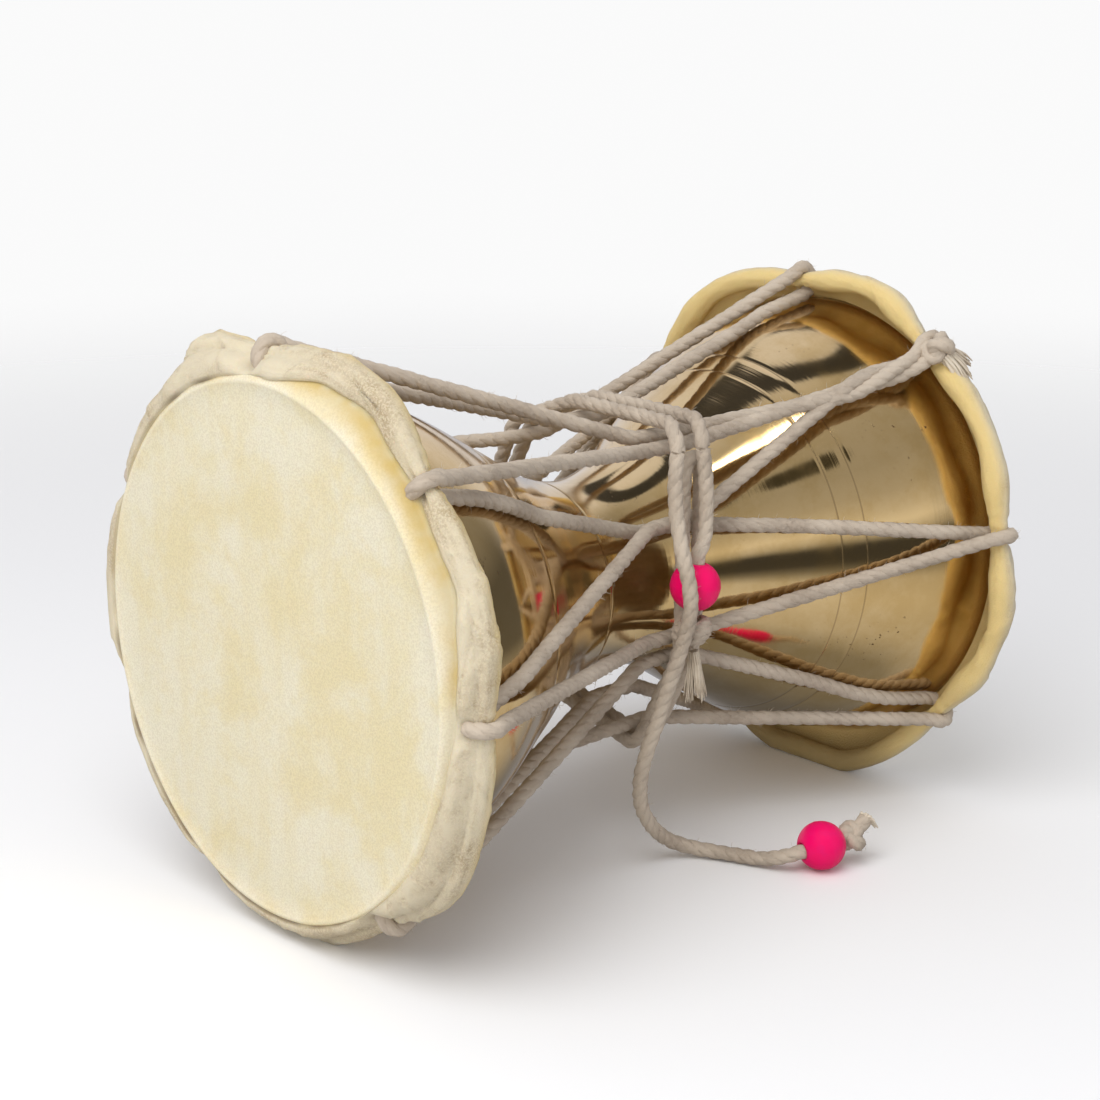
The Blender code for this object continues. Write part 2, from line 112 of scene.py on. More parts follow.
def smooth_route(points: Sequence[Vector], step: float) -> Route:
    """A smooth curve through chosen points.

    Args:
        points: The chosen points.
        step: The distance between the points of the result.

    Returns:
        Points at even steps along the curve.
    """
    ends = [2 * points[0] - points[1], *points, 2 * points[-1] - points[-2]]
    fine = [points[0].copy()]
    for p0, p1, p2, p3 in zip(ends, ends[1:], ends[2:], ends[3:]):
        pieces = max(4, int((p2 - p1).length / step * 1.5))
        for k in range(1, pieces + 1):
            t = k / pieces
            cubic = (2 * p1 + (p2 - p0) * t + (2 * p0 - 5 * p1 + 4 * p2 - p3) * t * t
                     + (3 * p1 - p0 - 3 * p2 + p3) * t ** 3)
            fine.append(cubic / 2)
    return even_route(fine, step)


def relaxed(points: Sequence[Vector], rounds: int) -> Route:
    """The same route with its sharp turns eased, its two ends held."""
    eased = [point.copy() for point in points]
    for _ in range(rounds):
        eased = [eased[0], *[(a + 2 * b + c) / 4 for a, b, c in zip(eased, eased[1:], eased[2:])], eased[-1]]
    return eased


class Wiring:
    """Adds nodes to one tree and joins them."""

    def __init__(self, tree: bpy.types.NodeTree) -> None:
        """Keep the tree."""
        self.tree = tree

    def node(self, kind: str, inputs: dict | None = None, **settings: object) -> bpy.types.Node:
        """Add one node.

        Args:
            kind: The node's type name.
            inputs: Values or sockets for its inputs, by name or number.
            **settings: Properties of the node.

        Returns:
            The new node.
        """
        made = self.tree.nodes.new(kind)
        for name, value in settings.items():
            setattr(made, name, value)
        self.feed(made, inputs or {})
        return made

    def feed(self, node: bpy.types.Node, inputs: dict) -> None:
        """Set a node's inputs to values, or join them to sockets."""
        for key, value in inputs.items():
            if isinstance(value, bpy.types.NodeSocket):
                self.tree.links.new(value, node.inputs[key])
            else:
                node.inputs[key].default_value = value

    def math(self, operation: str, *values: object) -> bpy.types.NodeSocket:
        """The result of one sum."""
        return self.node("ShaderNodeMath", dict(enumerate(values)), operation=operation).outputs[0]

    def times(self, first: object, second: object) -> bpy.types.NodeSocket:
        """The product of two values."""
        return self.math("MULTIPLY", first, second)

    def plus(self, first: object, second: object) -> bpy.types.NodeSocket:
        """The sum of two values."""
        return self.math("ADD", first, second)

    def vector(self, operation: str, inputs: dict) -> bpy.types.Node:
        """One vector sum."""
        return self.node("ShaderNodeVectorMath", inputs, operation=operation)

    def mapped(self, value: object, low: float, high: float, to_low: float = 0.0,
               to_high: float = 1.0) -> bpy.types.NodeSocket:
        """A value moved softly from one range to another."""
        inputs = {"Value": value, "From Min": low, "From Max": high, "To Min": to_low, "To Max": to_high}
        return self.node("ShaderNodeMapRange", inputs, interpolation_type="SMOOTHSTEP").outputs[0]

    def mixed(self, share: object, first: object, second: object) -> bpy.types.NodeSocket:
        """Two colours mixed."""
        return self.node("ShaderNodeMix", {0: share, 6: first, 7: second}, data_type="RGBA").outputs[2]

    def speckle(self, place: object, scale: float, detail: float = 3.0, roughness: float = 0.55,
                distortion: float = 0.0) -> bpy.types.NodeSocket:
        """A noise value over a place."""
        inputs = {"Vector": place, "Scale": scale, "Detail": detail, "Roughness": roughness, "Distortion": distortion}
        return self.node("ShaderNodeTexNoise", inputs).outputs["Fac"]

    def attribute(self, name: str) -> bpy.types.NodeSocket:
        """The value of a named attribute of the mesh."""
        return self.node("ShaderNodeAttribute", attribute_name=name).outputs["Fac"]


def rgb(red: float, green: float, blue: float) -> tuple[float, float, float, float]:
    """A colour from its screen values, 0 to 255."""
    def linear(value: float) -> float:
        share = value / 255.0
        return share / 12.92 if share <= 0.04045 else ((share + 0.055) / 1.055) ** 2.4
    return (linear(red), linear(green), linear(blue), 1.0)


def value_group(name: str, inputs: dict[str, float],
                outputs: Sequence[str]) -> tuple[Wiring, bpy.types.NodeOutputs]:
    """An empty shader group.

    Args:
        name: The group's name.
        inputs: Its number inputs with their usual values. All groups also take a place.
        outputs: The names of its values.

    Returns:
        The group's wiring and its given inputs.
    """
    tree = bpy.data.node_groups.new(name, "ShaderNodeTree")
    tree.interface.new_socket(name="Place", in_out="INPUT", socket_type="NodeSocketVector")
    for key, value in inputs.items():
        tree.interface.new_socket(name=key, in_out="INPUT", socket_type="NodeSocketFloat").default_value = value
    for key in outputs:
        tree.interface.new_socket(name=key, in_out="OUTPUT", socket_type="NodeSocketFloat")
    wire = Wiring(tree)
    return wire, wire.node("NodeGroupInput").outputs


def fibre_grain_group() -> bpy.types.NodeTree:
    """Fine fibre lines that run along a cord's plies, with soft wool between them."""
    wire, given = value_group("fibre_grain", {"Line Scale": 2600.0, "Wool Scale": 900.0}, ("Height", "Tone"))
    strands = wire.node("ShaderNodeCombineXYZ", {0: wire.times(wire.attribute("along"), 260.0),
                                                 1: wire.times(wire.attribute("around"), 9.0), 2: 0.0})
    lines = wire.speckle(strands.outputs[0], 1.0, 3.0, 0.5)
    wool = wire.speckle(given["Place"], given["Wool Scale"], 4.0, 0.5)
    fine = wire.speckle(given["Place"], given["Line Scale"], 2.0, 0.5)
    height = wire.plus(wire.times(lines, 0.9), wire.plus(wire.times(wool, 0.8), wire.times(fine, 0.35)))
    wire.node("NodeGroupOutput", {"Height": height, "Tone": wool})
    return wire.tree


def skin_grain_group() -> bpy.types.NodeTree:
    """Pores, blotches and small flecks of raw skin."""
    wire, given = value_group("skin_grain", {"Pore Scale": 2000.0, "Blotch Scale": 46.0, "Fleck Scale": 420.0},
                              ("Height", "Blotch", "Fleck"))
    pores = wire.speckle(given["Place"], given["Pore Scale"], 4.0, 0.7)
    blotch = wire.speckle(given["Place"], given["Blotch Scale"], 5.0, 0.66, 0.25)
    fleck = wire.node("ShaderNodeTexVoronoi", {"Vector": given["Place"], "Scale": given["Fleck Scale"]})
    spots = wire.mapped(fleck.outputs["Distance"], 0.05, 0.11, 1.0, 0.0)
    rare = wire.mapped(wire.speckle(given["Place"], 90.0), 0.62, 0.68)
    wire.node("NodeGroupOutput", {"Height": pores, "Blotch": blotch, "Fleck": wire.times(spots, rare)})
    return wire.tree


def turning_lines_group() -> bpy.types.NodeTree:
    """The rings that a turned and buffed metal keeps, as a height, and the wear between them."""
    wire, given = value_group("turning_lines", {"Fine Scale": 1500.0, "Band Scale": 330.0, "Wear Scale": 45.0},
                              ("Height", "Wear", "Stain"))
    along = wire.node("ShaderNodeSeparateXYZ", {0: given["Place"]}).outputs[0]
    ring = wire.plus(along, wire.times(wire.speckle(given["Place"], 14.0, 1.0, 0.5), 0.0012))
    fine, band = (
        wire.node("ShaderNodeTexNoise", {"W": ring, "Scale": given[scale], "Detail": detail, "Roughness": rough},
                  noise_dimensions="1D").outputs["Fac"]
        for scale, detail, rough in (("Fine Scale", 3.0, 0.65), ("Band Scale", 2.0, 0.5)))
    dents = wire.speckle(given["Place"], 38.0, 2.0, 0.5)
    height = wire.plus(wire.plus(fine, wire.times(band, 1.6)), wire.times(dents, 5.0))
    wear = wire.speckle(given["Place"], given["Wear Scale"], 6.0, 0.7)
    grit = wire.mapped(wire.speckle(given["Place"], 800.0, 2.0, 0.5), 0.66, 0.72)
    patch = wire.mapped(wire.speckle(given["Place"], 55.0, 3.0, 0.5), 0.56, 0.68)
    wire.node("NodeGroupOutput", {"Height": height, "Wear": wear, "Stain": wire.times(grit, patch)})
    return wire.tree


class Groups:
    """The shader groups that several finishes share, each built once."""

    made: dict[str, bpy.types.NodeTree] = {}
    makers = {"fibre_grain": fibre_grain_group, "skin_grain": skin_grain_group, "turning_lines": turning_lines_group}

    @classmethod
    def get(cls, name: str) -> bpy.types.NodeTree:
        """The group of this name."""
        if name not in cls.made:
            cls.made[name] = cls.makers[name]()
        return cls.made[name]


@dataclass(frozen=True)
class Finish:
    """A surface with a Principled shader. The classes after it add what varies."""

    name: str

    def start(self, sockets: dict[str, object]) -> tuple[bpy.types.Material, Wiring, bpy.types.Node,
                                                         bpy.types.NodeSocket]:
        """A new material with its plain values set.

        Args:
            sockets: Plain values for the shader's own sockets.

        Returns:
            The material, its wiring, its shader and the place on the object.
        """
        made = bpy.data.materials.new(self.name)
        made.use_nodes = True
        wire = Wiring(made.node_tree)
        shader = made.node_tree.nodes["Principled BSDF"]
        wire.feed(shader, sockets)
        place = wire.node("ShaderNodeTexCoord").outputs["Object"]
        return made, wire, shader, place

    def grain(self, wire: Wiring, group: str, place: bpy.types.NodeSocket, **values: float) -> bpy.types.Node:
        """A shared group placed in this material with its own values."""
        inputs = {"Place": place, **{key.replace("_", " "): value for key, value in values.items()}}
        return wire.node("ShaderNodeGroup", inputs, node_tree=Groups.get(group))

    def dress(self, wire: Wiring, shader: bpy.types.Node, colour: bpy.types.NodeSocket, height: bpy.types.NodeSocket,
              relief: float) -> None:
        """Give the shader its colour and its relief."""
        bump = wire.node("ShaderNodeBump", {"Height": height, "Distance": relief, "Strength": 1.0})
        wire.feed(shader, {"Base Color": colour, "Normal": bump.outputs[0]})


@dataclass(frozen=True)
class PolishedBrass(Finish):
    """Buffed pale brass with turning rings, dull patches and tarnish specks."""

    name: str = "polished_brass"
    metal: tuple = (0.80, 0.595, 0.33, 1.0)
    deep: tuple = (0.71, 0.50, 0.235, 1.0)
    tarnish: tuple = (0.16, 0.085, 0.045, 1.0)
    relief: float = 0.0000095

    def build(self) -> bpy.types.Material:
        """The material."""
        made, wire, shader, place = self.start({"Metallic": 1.0})
        rings = self.grain(wire, "turning_lines", place, Fine_Scale=1500.0, Band_Scale=330.0, Wear_Scale=45.0).outputs
        colour = wire.mixed(wire.mapped(rings["Wear"], 0.38, 0.66), self.metal, self.deep)
        dirt = wire.math("MAXIMUM", wire.times(rings["Stain"], 0.85), wire.times(wire.attribute("score"), 0.45))
        rough = wire.plus(wire.mapped(rings["Wear"], 0.35, 0.75, 0.07, 0.16), wire.times(dirt, 0.4))
        wire.feed(shader, {"Roughness": rough})
        self.dress(wire, shader, wire.mixed(dirt, colour, self.tarnish), rings["Height"], self.relief)
        return made


@dataclass(frozen=True)
class GoatSkin(Finish):
    """Raw cream skin: mottled on the flat, yellow where it is stretched and grey where it is rolled. It also carries
    painted light: shade in creases, seams, holes and under the far roll, glow from the brass behind the roll, and a
    highlight on the ridge.
    """

    name: str = "goat_skin"
    flat: tuple = rgb(238, 229, 203)
    stained: tuple = rgb(233, 218, 176)
    # The collar's own yellowing, set darker than the skin is to offset the extra light that falls on the collar: partly
    # painted shade.
    stretched: tuple = rgb(211, 200, 168)
    yellowed_and_shaded: tuple = rgb(202, 175, 106)
    # Painted glow: the golden light that the brass throws back onto the inside of the roll, painted into the skin's
    # colour.
    painted_brass_glow: tuple = rgb(236, 208, 136)
    rolled: tuple = rgb(224, 212, 184)
    # Dirt colour; it also paints the shade in the roll's creases.
    soiled_and_shaded: tuple = rgb(182, 162, 130)
    # Painted highlight: the lighter line where the skin bends over the rim's ridge.
    edge: tuple = rgb(238, 231, 208)
    # Painted shade: the dark colour of the gap line at the seam, of the cord holes and of the far roll's underside.
    pit: tuple = rgb(88, 62, 38)
    relief: float = 0.00030

    def build(self) -> bpy.types.Material:
        """The material."""
        made, wire, shader, place = self.start({"Subsurface Weight": 0.15, "Subsurface Scale": 0.0025,
                                                "Subsurface Radius": (1.0, 0.62, 0.26), "Specular IOR Level": 0.30})
        grain = self.grain(wire, "skin_grain", place, Pore_Scale=2000.0, Blotch_Scale=46.0, Fleck_Scale=420.0)
        blotch, pores = grain.outputs["Blotch"], grain.outputs["Height"]
        roll, collar = wire.attribute("roll"), wire.attribute("collar")
        colour = wire.mixed(wire.mapped(blotch, 0.40, 0.66), self.flat, self.stained)
        long_way = wire.node("ShaderNodeMapping", {"Vector": place, "Scale": (1.0, 1.0, 0.22)}).outputs[0]
        stripes = wire.speckle(long_way, 75.0, 3.0)
        colour = wire.mixed(wire.mapped(stripes, 0.48, 0.72, 0.0, 0.55), colour, self.stained)
        colour = wire.mixed(wire.mapped(pores, 0.42, 0.60, 0.0, 0.24), colour, self.soiled_and_shaded)
        # The collar's yellowed colour, partly its own and partly painted shade against the light it faces.
        pulled_and_shaded = wire.mixed(wire.mapped(wire.speckle(place, 60.0), 0.38, 0.60), self.stretched, self.yellowed_and_shaded)
        colour = wire.mixed(collar, colour, pulled_and_shaded)
        # Dust on the roll, with painted shade added along its creases.
        dust_and_crease_shade = wire.mapped(wire.plus(blotch, wire.times(wire.attribute("crease"), 0.20)), 0.42, 0.78)
        dusty_and_shaded = wire.mixed(dust_and_crease_shade, self.rolled, self.soiled_and_shaded)
        granular = wire.mixed(wire.mapped(pores, 0.42, 0.62, 0.0, 0.8), dusty_and_shaded, self.rolled)
        # Painted glow from the brass where the roll faces the shell.
        granular = wire.mixed(wire.times(wire.attribute("warm"), 0.85), granular, self.painted_brass_glow)
        colour = wire.mixed(roll, colour, granular)
        # Painted highlight along the ridge.
        colour = wire.mixed(wire.times(wire.attribute("ridge"), 0.22), colour, self.edge)
        colour = wire.mixed(wire.times(grain.outputs["Fleck"], 0.55), colour, self.soiled_and_shaded)
        # Painted shade in the gap line, the holes and under the far roll.
        colour = wire.mixed(wire.attribute("pit"), colour, self.pit)
        wire.feed(shader, {"Roughness": wire.mapped(pores, 0.3, 0.7, 0.50, 0.72)})
        height = wire.times(pores, wire.plus(0.35, wire.times(roll, 0.65)))
        self.dress(wire, shader, colour, height, self.relief)
        return made


@dataclass(frozen=True)
class CottonCord(Finish):
    """Off-white cotton with fibre lines along each ply."""

    name: str = "cotton_cord"
    clean: tuple = rgb(199, 185, 167)
    grey: tuple = rgb(170, 155, 138)
    relief: float = 0.00028

    def build(self) -> bpy.types.Material:
        """The material."""
        made, wire, shader, place = self.start({"Roughness": 0.95, "Sheen Weight": 0.10, "Sheen Roughness": 0.6,
                                                "Specular IOR Level": 0.10})
        grain = self.grain(wire, "fibre_grain", place, Line_Scale=2600.0, Wool_Scale=900.0).outputs
        colour = wire.mixed(wire.mapped(wire.speckle(place, 60.0), 0.35, 0.7), self.clean, self.grey)
        colour = wire.mixed(wire.mapped(grain["Tone"], 0.35, 0.65, 0.0, 0.35), colour, self.clean)
        self.dress(wire, shader, colour, grain["Height"], self.relief)
        return made


@dataclass(frozen=True)
class PinkPlastic(Finish):
    """Moulded hot pink plastic, rubbed a little dull."""

    name: str = "pink_plastic"
    colour: tuple = rgb(247, 0, 103)
    rubbed: tuple = rgb(240, 14, 108)
    relief: float = 0.00006

    def build(self) -> bpy.types.Material:
        """The material."""
        made, wire, shader, place = self.start({"Subsurface Weight": 0.18, "Subsurface Scale": 0.0015,
                                                "Subsurface Radius": (1.0, 0.2, 0.4), "Specular IOR Level": 0.28})
        rub = wire.speckle(place, 260.0, 5.0, 0.65)
        wire.feed(shader, {"Roughness": wire.mapped(rub, 0.35, 0.7, 0.30, 0.52)})
        colour = wire.mixed(wire.mapped(rub, 0.45, 0.7), self.colour, self.rubbed)
        self.dress(wire, shader, colour, rub, self.relief)
        return made


LOOSE_YARN = CottonCord("loose_yarn", rgb(222, 210, 190), rgb(196, 180, 158), 0.00001)


@dataclass(frozen=True)
class Finishes:
    """Every finish of the drum, built once."""

    brass: bpy.types.Material = field(default_factory=lambda: PolishedBrass().build())
    skin: bpy.types.Material = field(default_factory=lambda: GoatSkin().build())
    cord: bpy.types.Material = field(default_factory=lambda: CottonCord().build())
    yarn: bpy.types.Material = field(default_factory=lambda: LOOSE_YARN.build())
    bead: bpy.types.Material = field(default_factory=lambda: PinkPlastic().build())


def linked(name: str, data: bpy.types.ID | None) -> bpy.types.Object:
    """A new object in the scene."""
    made = bpy.data.objects.new(name, data)
    bpy.context.scene.collection.objects.link(made)
    return made


def show(name: str, mesh: bpy.types.Mesh, surface: bpy.types.Material,
         nodes: Sequence[str]) -> bpy.types.Object:
    """A finished piece of the drum.

    Args:
        name: The piece's name.
        mesh: Its mesh, in place.
        surface: Its material.
        nodes: The solids that it stands for.

    Returns:
        The new object.
    """
    made = linked(name, mesh)
    if not mesh.materials:
        mesh.materials.append(surface)
    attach(made, "root")
    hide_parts(*nodes)
    LOG.info("%s: %d faces", name, len(mesh.polygons))
    return made


def grid_mesh(name: str, rings: list[list[Vector]], marks: dict[str, list[list[float]]],
              closed: bool) -> bpy.types.Mesh:
    """A mesh of closed rings.

    Args:
        name: The mesh's name.
        rings: The rings, each with as many points.
        marks: Named values for each point.
        closed: Whether the last ring joins the first. If not, both ends are filled with a fan.

    Returns:
        The smooth mesh with its faces outwards.
    """
    across = len(rings[0])
    points = [point for ring in rings for point in ring]
    faces = []
    last = len(rings) if closed else len(rings) - 1
    for r in range(last):
        a, b = r * across, ((r + 1) % len(rings)) * across
        faces += [(a + k, a + (k + 1) % across, b + (k + 1) % across, b + k) for k in range(across)]
    values = {key: [v for ring in table for v in ring] for key, table in marks.items()}
    if not closed:
        for ring, start in ((rings[0], 0), (rings[-1], (len(rings) - 1) * across)):
            points.append(sum(ring, Vector()) / across)
            for table in values.values():
                table.append(table[start])
            centre = len(points) - 1
            faces += [(centre, start + k, start + (k + 1) % across) for k in range(across)]
    mesh = bpy.data.meshes.new(name)
    mesh.from_pydata(points, [], faces)
    for key, table in values.items():
        mesh.attributes.new(key, "FLOAT", "POINT").data.foreach_set("value", table)
    sheet = bmesh.new()
    sheet.from_mesh(mesh)
    bmesh.ops.recalc_face_normals(sheet, faces=sheet.faces)
    sheet.to_mesh(mesh)
    sheet.free()
    mesh.shade_smooth()
    return mesh


@dataclass(frozen=True)
class BrassShell:
    """The hourglass of spun brass."""

    half_length: float = 0.09475
    rim: float = 0.0600
    waist: float = 0.0238
    wall: float = 0.0010
    sides: int = 220
    stations: int = 120
    curve: tuple = ((0.0, 0.0), (0.21, 0.125), (0.42, 0.44), (0.69, 0.82), (0.92, 0.965), (1.0, 1.0))
    scores: tuple = (-0.0460, -0.0122, 0.0498, 0.0556)
    score_width: float = 0.00026
    score_depth: float = 0.00008
    waver: float = 0.00010
    lining_rings: int = 40
    slope_step: float = 0.0005
    lining_slopes_to: float = 0.094

    def radius(self, along: float) -> float:
        """The outer radius at a place along the axis."""
        pairs, value = self.curve, min(1.0, abs(along) / self.half_length)
        slopes = [0.0]
        slopes += [(b[1] - a[1]) / (b[0] - a[0]) for a, b in zip(pairs, pairs[2:])]
        slopes.append((pairs[-1][1] - pairs[-2][1]) / (pairs[-1][0] - pairs[-2][0]))
        last = len(pairs) - 2
        part = next((i for i in range(last) if value < pairs[i + 1][0]), last)
        (x0, y0), (x1, y1) = pairs[part], pairs[part + 1]
        width = x1 - x0
        t = (value - x0) / width
        rise = (1 + 2 * t) * (1 - t) ** 2 * y0 + t * (1 - t) ** 2 * width * slopes[part]
        rise += t * t * (3 - 2 * t) * y1 + t * t * (t - 1) * width * slopes[part + 1]
        return self.waist + (self.rim - self.waist) * rise

    def groove(self, along: float) -> float:
        """How much of a scored line is at this place, 0 to 1."""
        nearest = min(abs(along - score) for score in self.scores)
        return max(0.0, 1.0 - nearest / self.score_width)

    def places(self) -> list[float]:
        """Places along the axis, closer together at each scored line."""
        even = [self.half_length * (2 * k / self.stations - 1) for k in range(self.stations + 1)]
        near = [s + w * self.score_width for s in self.scores for w in (-1.0, -0.5, 0.0, 0.5, 1.0)]
        clear = [p for p in even if all(abs(p - n) > self.score_width / 3 for n in near)]
        return sorted(clear + near)

    def build(self, finishes: Finishes) -> bpy.types.Object:
        """The polished shell with its scored lines."""
        rings, marks = [], []
        for along in self.places():
            groove = self.groove(along)
            ring = []
            for k in range(self.sides):
                angle = 2 * math.pi * k / self.sides
                spot = round_axis(along, 1.0, angle)
                wobble = noise.noise(Vector((along * 24.0, spot.y * 1.1, spot.z * 1.1))) * self.waver
                ring.append(round_axis(along, self.radius(along) + wobble - groove * self.score_depth, angle))
            rings.append(in_place(ring))
            marks.append([groove] * self.sides)
        step = self.slope_step
        for k in range(self.lining_rings + 1):
            along = self.half_length * (1 - 2 * k / self.lining_rings)
            rise = self.radius(along + step) - self.radius(along - step)
            slope = rise / (2 * step) if abs(along) < self.lining_slopes_to else 0.0
            radius = self.radius(along) - self.wall * math.hypot(1.0, slope)
            rings.append(in_place(round_axis(along, radius, 2 * math.pi * k / self.sides) for k in range(self.sides)))
            marks.append([0.0] * self.sides)
        mesh = grid_mesh("spun_shell", rings, {"score": marks}, True)
        return show("spun_shell", mesh, finishes.brass, ["brass_shell"])


@dataclass(frozen=True)
class Hoop:
    """The rolled edge of one skin: the end it is on, its laced holes and its corners with their bulge."""

    end: int
    holes: tuple
    corners: tuple
    rim_place: float = 0.09475
    hoop_radius: float = 0.0655
    setback: float = 0.0072
    roll_radius: float = 0.0032
    squeeze: float = 0.0012
    squeeze_angle: float = math.radians(9.0)
    rest_depth: float = 0.0694
    rest_share: float = math.sin(math.radians(48.0))

    def along(self, height: float) -> float:
        """The place along the axis that is this far out from the shell's rim."""
        return self.end * (self.rim_place + height)

    def bulge(self, degrees: float) -> float:
        """How far the hoop stands out beyond its radius at the holes."""
        keys = sorted([(turn(a), 0.0) for a in self.holes] + [(turn(a), b) for a, b in self.corners])
        keys = [(keys[-1][0] - 360.0, keys[-1][1]), *keys, (keys[0][0] + 360.0, keys[0][1])]
        here = turn(degrees)
        for (a0, b0), (a1, b1) in zip(keys, keys[1:]):
            if a0 <= here <= a1:
                return b0 + (b1 - b0) * (1 - math.cos(math.pi * (here - a0) / (a1 - a0))) / 2
        return 0.0

    def to_hole(self, degrees: float) -> float:
        """The angle to the nearest hole, in radians."""
        return min(abs(math.radians(turn(degrees - a))) for a in self.holes)

    def roll(self, degrees: float) -> float:
        """The roll's own radius, a little less where the cord squeezes it."""
        return self.roll_radius - self.squeeze * max(0.0, 1.0 - self.to_hole(degrees) / self.squeeze_angle)

    def radius(self, degrees: float) -> float:
        """The radius of the roll's middle line, pressed up where the drum rests on it."""
        free = self.hoop_radius + self.bulge(degrees)
        down = -math.cos(math.radians(degrees))
        if down <= 0.0:
            return free
        return min(free, self.rest_depth / down - self.roll(degrees) * self.rest_share)

    def spot(self, degrees: float, around: float, distance: float) -> Vector:
        """A point at a distance from the roll's middle line. Around is 0 at the roll's outer face."""
        swing = math.radians(around)
        height = distance * math.cos(swing) - self.setback
        radius = self.radius(degrees) + distance * math.sin(swing)
        return round_axis(self.along(height), radius, math.radians(degrees))


NEAR_HOOP = Hoop(
    -1, (-5.5, 46.5, 92.5, 147.5, 203.0, 250.0, 295.5),
    ((-23.5, 0.0028), (27.0, 0.0034), (72.0, 0.0020), (130.0, 0.0028), (176.0, 0.0028), (226.0, 0.0022),
     (272.0, 0.0026), (322.0, 0.0020)))
FAR_HOOP = Hoop(
    1, (-3.5, 36.0, 83.5, 132.5, 202.0, 250.0, 302.0),
    ((20.0, 0.0030), (60.0, 0.0018), (106.0, 0.0030), (172.5, 0.0038), (226.0, 0.0024), (276.0, 0.0022),
     (328.0, 0.0028)))


NEAR_LEDGES = ((-60.0, 0.12), (-20.0, 0.10), (2.0, 0.22), (18.0, 0.80), (30.0, 0.97), (64.0, 0.97), (80.0, 0.66), (95.0, 0.45),
               (115.0, 0.25), (140.0, 0.12), (176.0, 0.06))
FAR_LEDGES = ((-90.0, 0.3), (0.0, 0.5), (90.0, 0.4), (176.0, 0.2))
# Overlapped folds as angle, lean, height and width, and lumps as angle, width and height
NEAR_PLEATS = ((-29.0, 9.0, 0.0009, 10.0), (-17.0, -6.0, 0.0006, 7.0), (11.0, 4.0, 0.0005, 6.0), (24.0, -8.0, 0.0006, 8.0),
               (37.0, 3.0, 0.0004, 5.0), (61.0, 5.0, 0.0004, 6.0), (68.0, -3.0, 0.0004, 5.0), (74.0, 4.0, 0.0005, 6.0),
               (80.0, -4.0, 0.0004, 5.0), (103.0, 5.0, 0.0003, 6.0), (124.0, -5.0, 0.0003, 7.0), (137.0, 6.0, 0.0007, 4.0),
               (142.0, 5.0, 0.0006, 4.0), (152.0, -5.0, 0.0004, 6.0), (178.0, 4.0, 0.0004, 7.0),
                (-45.0, -4.0, 0.0005, 7.0), (-98.0, 4.0, 0.0005, 7.0))
NEAR_LUMPS = ((-25.0, 5.0, 0.0016), (128.0, 7.0, 0.0006), (28.0, 8.0, 0.0005))
FAR_PLEATS = ((12.0, 5.0, 0.0003, 8.0), (52.0, -5.0, 0.0003, 7.0), (98.0, 4.0, 0.0004, 8.0), (118.0, -4.0, 0.0004, 7.0))
FAR_LUMPS = ((-40.0, 4.0, 0.0005), (14.0, 5.0, -0.0005), (25.0, 4.0, 0.0005), (48.0, 4.0, 0.0005), (60.0, 4.0, -0.0004),
             (71.0, 4.0, 0.0005), (95.0, 5.0, 0.0005), (109.0, 4.0, -0.0005), (120.0, 4.0, 0.0006))


